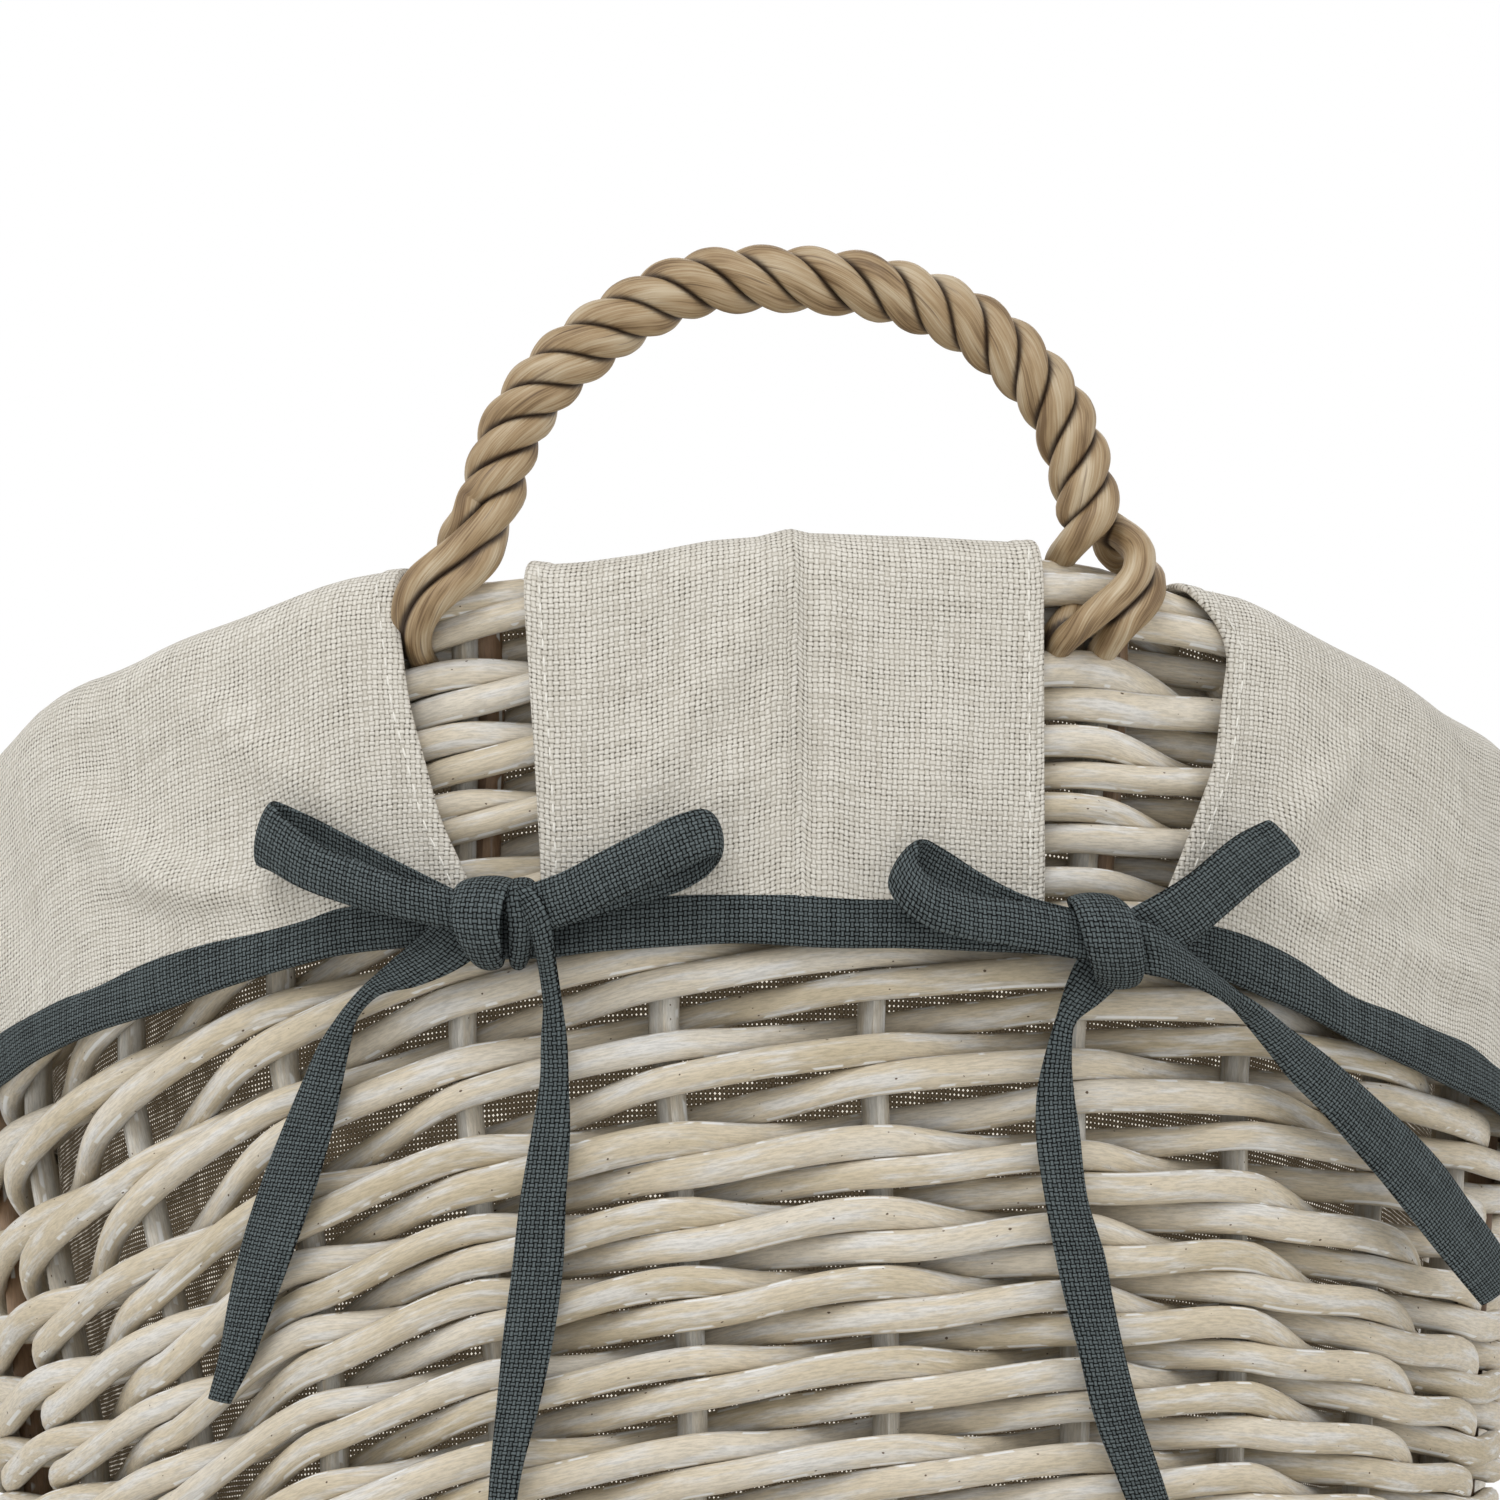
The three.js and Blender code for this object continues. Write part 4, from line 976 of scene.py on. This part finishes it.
def cuff_grid(starts, ends, tape, relief, lifts, column_spacing):
    """A cuff's grid. Its rows go from the inside over the crown and down to the hem in the
    tape, its columns across from slit to slit and back on the cloth's other face. The crown is
    lifted by the table of lifts, and each face lies half the cloth's thickness off its middle,
    more on the hem and rounded off to nothing at the slit's edge."""
    crown = through(CUFF_CROWN, 1.6)
    left, right = table(np.array([0.0]), starts), table(np.array([0.0]), ends)
    middle = np.linspace(0, 1, int((right - left)[0] / column_spacing))[1:-1]
    near = np.array(EDGE_COLUMNS)
    from_edge = np.concatenate([near, 99 + 0 * middle, near[::-1]])

    def columns(drop):
        left, right = table(drop, starts), table(drop, ends)
        return np.concatenate([
            left + near, left + near[-1] + (right - left - 2 * near[-1]) * middle,
            right - near[::-1],
        ], 1)

    crown_drop = crown[:, 1:2]
    crown_along = columns(np.maximum(crown_drop, 0))
    weight = np.sin(np.pi * np.linspace(0, 1, len(crown)))[:, None] ** 0.6
    rise = np.interp(crown_along, *np.array(lifts, float).T) * weight
    entering = np.clip((crown[:, :1] - 9) / 4.5, 0, 1)
    crown_out = crown[:, :1] + entering * relief(crown_along, crown_drop)
    crown_drop = crown_drop - rise
    last = table(columns(np.full((1, 1), 70.0)), tape) + 2
    hang_drop = CUFF_HANG_DROPS[0] + (last - CUFF_HANG_DROPS[0]) * np.linspace(0, 1, 34)[1:, None]
    hang_along = np.stack([columns(row[:, None])[np.arange(len(row)), np.arange(len(row))]
                           for row in hang_drop])
    hang_out = hanging(hang_along, hang_drop, relief)
    along = np.concatenate([crown_along, hang_along])
    drop = np.concatenate([np.broadcast_to(crown_drop, crown_along.shape), hang_drop])
    out = np.concatenate([crown_out, hang_out])
    middle_face = rim_place(side_by_side(along, drop, out))
    normal = unit(np.cross(np.gradient(middle_face, axis=1), np.gradient(middle_face, axis=0)))
    normal *= np.sign(np.sum(normal[-1] * (middle_face[-1] * [1, 1, 0]), axis=-1).mean())
    rounded = np.sqrt(1 - (1 - np.clip(from_edge / 0.85, 0.02, 1)) ** 2)[:, None]
    hemmed = 0.5 * np.clip((5 - from_edge) / 0.9, 0, 1)[:, None]
    outer = middle_face + normal * (CLOTH / 2 + hemmed) * rounded
    inner = middle_face - normal * CLOTH / 2 * rounded
    lay = side_by_side(along, gone_along(middle_face))
    points = np.concatenate([outer, inner[:, ::-1]], 1)
    return points, np.concatenate([lay, lay[:, ::-1], lay[:, :1]], 1), False, True


def stitch_grids(edge, inward, tape, relief):
    """A line of stitches on a slit's hem, 4 mm apart: each a thread of 2.7 mm that dips into
    the cloth at both ends."""
    grids = []
    angle = ring_angles(6)
    bow = np.sqrt(np.clip(1 - np.linspace(-1, 1, 7) ** 2, 0.05, 1))
    thick = STITCH_THREAD * bow[:, None]
    for drop in np.arange(3, table(np.array([70.0]), tape)[0], STITCH_SPACING):
        drops = drop + np.linspace(-STITCH_HALF, STITCH_HALF, 7)
        along = table(drops, edge) + inward * STITCH_IN
        out = hanging(along, drops, relief) + CLOTH / 2 + 0.34 + 0.16 * bow
        points = rim_place(side_by_side(along[:, None] + thick * np.cos(angle), drops[:, None],
                                        out[:, None] + thick * np.sin(angle)))
        grids.append((points, np.zeros((7, 7, 2)) + drops[:, None, None], False, True))
    return grids


def both_ends(where, grids):
    """A piece's place and grids at the near end or side, and then those of its opposite, which
    is turned by half a turn about Z."""
    yield where, grids
    yield OPPOSITE[where], [
        (points * [-1, -1, 1], lay + [FAR_LAY_SHIFT, 0], *closed)
        for points, lay, *closed in grids
    ]


white_thread = new_material("white_sewing_thread", {
    "Base Color": linear("#E9E6DE"), "Roughness": 0.8,
})[0]
half_round = rim["length"] / 2
side_ends = [(drop, half_round - along) for drop, along in SIDE_END]
side_lifts = [(place, 0.5 + 0.9 * math.sin(place / 23) * math.sin(place / 9.1)
               + np.interp(place, *np.transpose(SIDE_LIFTS))) for place in range(70, 600, 6)]
cuff_pieces = {}
for where, starts, ends, tape, relief, lifts, spacing in (
    ("front", FLAP_LEFT, FLAP_RIGHT, FLAP_TAPE, flap_relief, FLAP_LIFTS, 1.5),
    ("right", SIDE_START, side_ends, SIDE_TAPE, side_relief, side_lifts, 2.2),
):
    grids = [cuff_grid(starts, ends, tape, relief, lifts, spacing)]
    grids += stitch_grids(starts, 1, tape, relief) + stitch_grids(ends, -1, tape, relief)
    for target, (cloth_grid, *stitches) in both_ends(where, grids):
        cloth = make_piece(f"cuff_{target}_cloth", [cloth_grid], linen,
                           [f"cuff_{target}"])
        seam = make_piece(f"cuff_{target}_stitches", stitches, white_thread)
        cuff_pieces[target] = (cloth, seam)

# Tapes: dark slate cotton tape, folded over the lower edge of each cuff. It is plain-woven of
# thick threads, and its ends go on into the bows.
TAPE_WIDTH = 10.7
TAPE_THICK = 2.6
TAPE_STEP = 1.9
TAPE_THREAD = 0.97

# The tape's near-black thread valleys and pinholes are painted shade; its crowns show its slate
# colour.
slate_tape = plain_weave("slate_cotton_tape", "#616A6C", "#0A0D0D", "#020303", TAPE_THREAD,
                         0.55, 0.2, 0.0, 0.42)
for where, rows, relief in (("front", FLAP_TAPE, flap_relief), ("right", SIDE_TAPE, side_relief)):
    along = np.arange(rows[0][0], rows[-1][0] + 1, TAPE_STEP)
    centre = table(along, rows) + 0.35 * np.sin(along / 11)
    angle = ring_angles(20)
    upright, through_cloth = flattened(np.cos(angle), 0.7), flattened(np.sin(angle), 0.7)
    width = TAPE_WIDTH * (1 + 0.04 * np.sin(along / 13) + 0.03 * np.sin(along / 5.3))
    drops = centre[:, None] + width[:, None] / 2 * upright
    lean = 0.45 * np.sin(along / 9.3)[:, None] * upright
    outs = (hanging(along, centre, relief)[:, None] * 0.5 + 6.6
            + TAPE_THICK / 2 * through_cloth + lean)
    points = rim_place(side_by_side(along[:, None], drops, outs))
    around = gone_along(np.concatenate([points, points[:, :1]], 1), 1)
    band_grid = (points, side_by_side(along[:, None], around), False, True)
    for target, grids in both_ends(where, [band_grid]):
        band = make_piece(f"tape_{target}_band", grids, slate_tape, [f"tape_{target}"])
        cloth, seam = cuff_pieces[target]

# Bows: the tapes' ends, tied under each handle foot. The loops go out, turn round and come back
# in front; the knot is two wrapped bands; the tails hang down. Each ribbon has its bulge and then
# the places of its two edges along the rim, below it and out from the stakes, knot first.
RIBBON = 1.5
RIBBON_LAY_STEP = 300
LEFT_BOW = {
    "loop_left": (-1.1, [
        (-66, 71, 17, -65, 79.5, 17), (-78.6, 62.6, 18, -78.8, 71.6, 18),
        (-89, 55.2, 18.5, -90.3, 64.2, 18.5), (-99, 48, 19, -101, 58, 19),
        (-103.5, 45, 21.5, -107, 57.5, 21.5), (-102.5, 46.2, 24.5, -106, 58.5, 24.5),
        (-98.8, 50.5, 26.5, -102, 61, 26.5), (-94.5, 55.2, 27, -97, 65, 27),
        (-85.6, 61.6, 26.5, -87.2, 70.9, 26.5), (-75.7, 67.3, 26, -75.9, 76, 26),
        (-63, 72.1, 24, -62, 81, 24),
    ]),
    "loop_right": (-1.1, [
        (-56, 72.5, 22, -52, 82, 22), (-44.6, 70.4, 26, -41.8, 80.8, 26),
        (-36.8, 66.8, 27, -33.4, 76.9, 27), (-29.1, 63, 27, -26.3, 73.9, 27),
        (-21.5, 59.5, 26.5, -18.2, 69.5, 26.5), (-17.1, 58.2, 24.5, -14.5, 68, 25),
        (-15.6, 58.8, 21, -14, 68.6, 22), (-18, 60.6, 18.5, -16, 71, 18.5),
        (-23, 63.2, 18, -21, 74, 18), (-32, 66, 17.5, -30, 76.4, 17.5),
        (-50, 72, 17, -50, 81.5, 17),
    ]),
    "tail_left": (0.7, [
        (-64, 73, 17, -58, 82, 18), (-70.6, 74.9, 17, -60.1, 82.8, 18),
        (-74.9, 78.5, 17, -65.5, 86.2, 17.5), (-82.1, 82.8, 15.5, -76.2, 89.2, 17),
        (-87.9, 86.4, 14.3, -84.1, 89.5, 16.5), (-93.7, 90.9, 13.8, -89.6, 93.2, 15.3),
        (-98.8, 95.8, 13.3, -91.8, 98.3, 14.3), (-103.5, 103.3, 13.3, -94.2, 106.7, 13.8),
        (-108.2, 111.2, 13.3, -96.5, 114.9, 13.8), (-114.4, 122.1, 13.3, -100.6, 125.9, 13.8),
        (-119.9, 133.6, 13.3, -106.6, 138.6, 13.8), (-124.2, 145.4, 13.3, -112.1, 149.1, 13.8),
        (-127.5, 157, 13.3, -118.8, 160.6, 13.8), (-130.7, 164.7, 13.3, -124.5, 167.4, 13.8),
    ]),
    "tail_right": (0.8, [
        (-56, 77, 22, -53, 72, 22), (-54.3, 74.8, 24, -50, 73.1, 26),
        (-51.8, 79.4, 25, -47.3, 77, 27), (-50.5, 83.5, 24, -46.4, 83, 25),
        (-49.9, 89.3, 20, -46.1, 89.3, 21), (-49.7, 96.3, 17, -45.7, 95.7, 18),
        (-50.5, 103.3, 15.5, -45, 103.8, 16), (-50.9, 111.6, 15, -44.9, 112.1, 15),
        (-52.8, 121.8, 14.5, -44.7, 122.5, 15), (-55.5, 136.1, 14.5, -45.7, 136.9, 15),
        (-57.4, 150.4, 14.5, -46.5, 151.4, 15), (-59.3, 162.7, 14.5, -48.3, 163.7, 15),
        (-61, 177, 14.5, -51.6, 178.3, 15), (-62.7, 191.3, 14.5, -55.7, 192.4, 15),
        (-63.8, 203.5, 14.5, -58, 204.5, 15), (-64.9, 212, 14.5, -59.9, 212.8, 15),
    ]),
    "knot_left": (0.9, [
        (-62, 75, 17, -54, 76, 17), (-64.6, 70, 20, -53.6, 71, 20),
        (-65.2, 71.6, 25.5, -54.4, 73, 26), (-65.3, 77, 28.3, -55.6, 78.6, 28.8),
        (-64, 83, 27, -56, 84.6, 27), (-62.3, 86.4, 22, -56.6, 87.6, 22),
        (-61.5, 84, 17, -57, 85, 17),
    ]),
    "knot_right": (1.0, [
        (-56, 75, 16, -49, 74, 16), (-56, 71.5, 21, -50.4, 71.3, 20), (-55.8, 74, 25, -50, 74, 24),
        (-55, 79, 25.5, -49.6, 79, 24), (-55.2, 84, 23, -50.6, 84, 22),
        (-56, 87, 19, -52.6, 87, 18), (-56, 85, 15, -52, 84, 15),
    ]),
}
RIGHT_BOW = {
    "loop_left": (-1.1, [
        (60, 74, 17, 62, 82.5, 17), (47.8, 72.2, 18, 48.1, 81, 18),
        (39.4, 68.7, 18.5, 38.6, 79.9, 18.5), (32.1, 64.6, 19, 28.6, 76.4, 19),
        (27.4, 63.2, 21.5, 21.3, 73.1, 22), (26, 64.4, 24.5, 20.4, 74.4, 24.5),
        (25.8, 68.6, 26.5, 22, 78, 26.5), (28.8, 72.6, 27, 27.2, 81.8, 27),
        (34.8, 74.6, 26.5, 35, 83.9, 26.5), (43.7, 75, 26, 43.9, 84.7, 26),
        (60, 75.6, 24, 61, 85.7, 24),
    ]),
    "strap_right": (-0.2, [
        (64, 77, 20, 74, 84.5, 20), (69, 73.6, 22.5, 78, 81.4, 22.5),
        (75.1, 69.5, 24, 82.8, 77.5, 24), (81.1, 64, 24.5, 89.2, 70.7, 24.5),
        (87.5, 57.3, 24.5, 95.8, 63.6, 24.5), (94.3, 51.2, 24, 102.4, 57.3, 24),
        (97.9, 48.6, 23.5, 106, 54, 23.5), (97.9, 48.8, 21.6, 106, 54.2, 21.6),
        (94.3, 51.4, 21, 102.4, 57.5, 21), (81.1, 64.4, 20.5, 89.2, 71, 20.5),
        (66, 76, 18, 76, 83.5, 18),
    ]),
    "tail_left": (0.8, [
        (64, 80, 17, 71, 84, 17), (60.8, 84.1, 17, 69.6, 88.5, 17),
        (58.5, 90, 16.5, 65.8, 92.9, 17), (57.1, 96.3, 15.5, 61, 97.6, 16.5),
        (55.2, 103.9, 15, 60.6, 103.7, 15.5), (53.6, 113, 14.5, 61.5, 112, 15),
        (53.6, 120.8, 14.5, 62.8, 118.9, 15), (56, 135.2, 14.5, 65.3, 134.1, 15),
        (58.8, 147.4, 14.5, 69.6, 145.6, 15), (61, 155.5, 14.5, 71.6, 153.8, 15),
        (64.3, 165.6, 14.5, 74.4, 163.9, 15), (68.6, 179.6, 14.5, 78.9, 177, 15),
        (74.4, 191.4, 14.5, 84.2, 188.7, 15), (80, 202, 14.5, 88.9, 199.3, 15),
        (84.8, 210.7, 14.5, 92.8, 207.8, 15),
    ]),
    "tail_right": (-0.8, [
        (66, 77, 22, 69, 86, 21), (70.1, 75.8, 26, 73.4, 86.6, 24),
        (78.2, 78.4, 24.5, 80.7, 86.8, 23), (86.7, 81.8, 21.5, 89.8, 87.8, 20.5),
        (95.6, 85, 19.5, 95.2, 89.2, 18.5), (102, 86.6, 18.5, 98, 90.6, 17.5),
        (109.6, 89.5, 18, 103.2, 95, 18), (117.8, 92, 18, 110.2, 100.4, 18),
        (126.1, 95.2, 18.5, 118.9, 105.4, 18.5), (134.8, 98.5, 19, 127.2, 110.6, 19),
        (144.8, 102.4, 20, 135.7, 115.9, 20), (154, 107, 21.5, 143, 121.2, 21.5),
        (162.6, 113.2, 23.5, 150.4, 126.8, 23.5), (171.9, 119.8, 26, 158, 132.4, 26),
        (178.9, 124.6, 27, 163.8, 135.4, 27),
    ]),
    "knot_left": (0.9, [
        (60, 77, 17, 70, 77, 17), (57, 73, 20, 67.6, 71.6, 20), (56.6, 74.8, 25.5, 68, 73.8, 25.8),
        (57.3, 79, 28, 69, 77.8, 28.6), (58.6, 83.6, 28, 70, 82, 28.4),
        (61.6, 88, 24, 72, 86.4, 24.5), (64, 88.6, 19, 73, 87.4, 19), (64, 85, 17, 73, 84, 17),
    ]),
}


def ribbon(edges, bulge, lay_start):
    """A ribbon between two edges: its middle is the straight line from edge to edge, raised
    by the bulge in the middle, and its two faces lie apart by its thickness, rounded off at
    the edges."""
    edges = rim_place(np.reshape(edges, (-1, 2, 3)))
    line = through(edges.reshape(len(edges), 6), 1.5)
    first, second = line[:, None, :3], line[:, None, 3:]
    run = np.gradient((first + second)[:, 0], axis=0)
    normal = unit(np.cross(run, (second - first)[:, 0]))[:, None]
    share = (1 - np.cos(np.linspace(0, np.pi, 13))) / 2
    from_middle = (2 * share - 1)[:, None]
    half = RIBBON / 2 * (1 - np.abs(from_middle) ** 6) ** 0.5 + 0.05
    middle = first + (second - first) * share[:, None]
    middle = middle + normal * bulge * (1 - from_middle ** 2)
    points = np.concatenate([middle + normal * half, (middle - normal * half)[:, ::-1]], 1)
    along = lay_start + gone_along((first + second)[:, 0] / 2)[:, None]
    around = (share - 0.5) * np.linalg.norm(second - first, axis=-1)
    around = np.concatenate([around, around[:, ::-1], around[:, :1]], 1)
    return points, side_by_side(along, around), False, True


for where, bow in (("front_left", LEFT_BOW), ("front_right", RIGHT_BOW)):
    for number, (part, (bulge, edges)) in enumerate(bow.items()):
        grid = ribbon(edges, bulge, RIBBON_LAY_STEP * number)
        for target, grids in both_ends(where, [grid]):
            piece = make_piece(f"bow_{target}_{part}", grids, slate_tape,
                               [f"bow_{target}"])
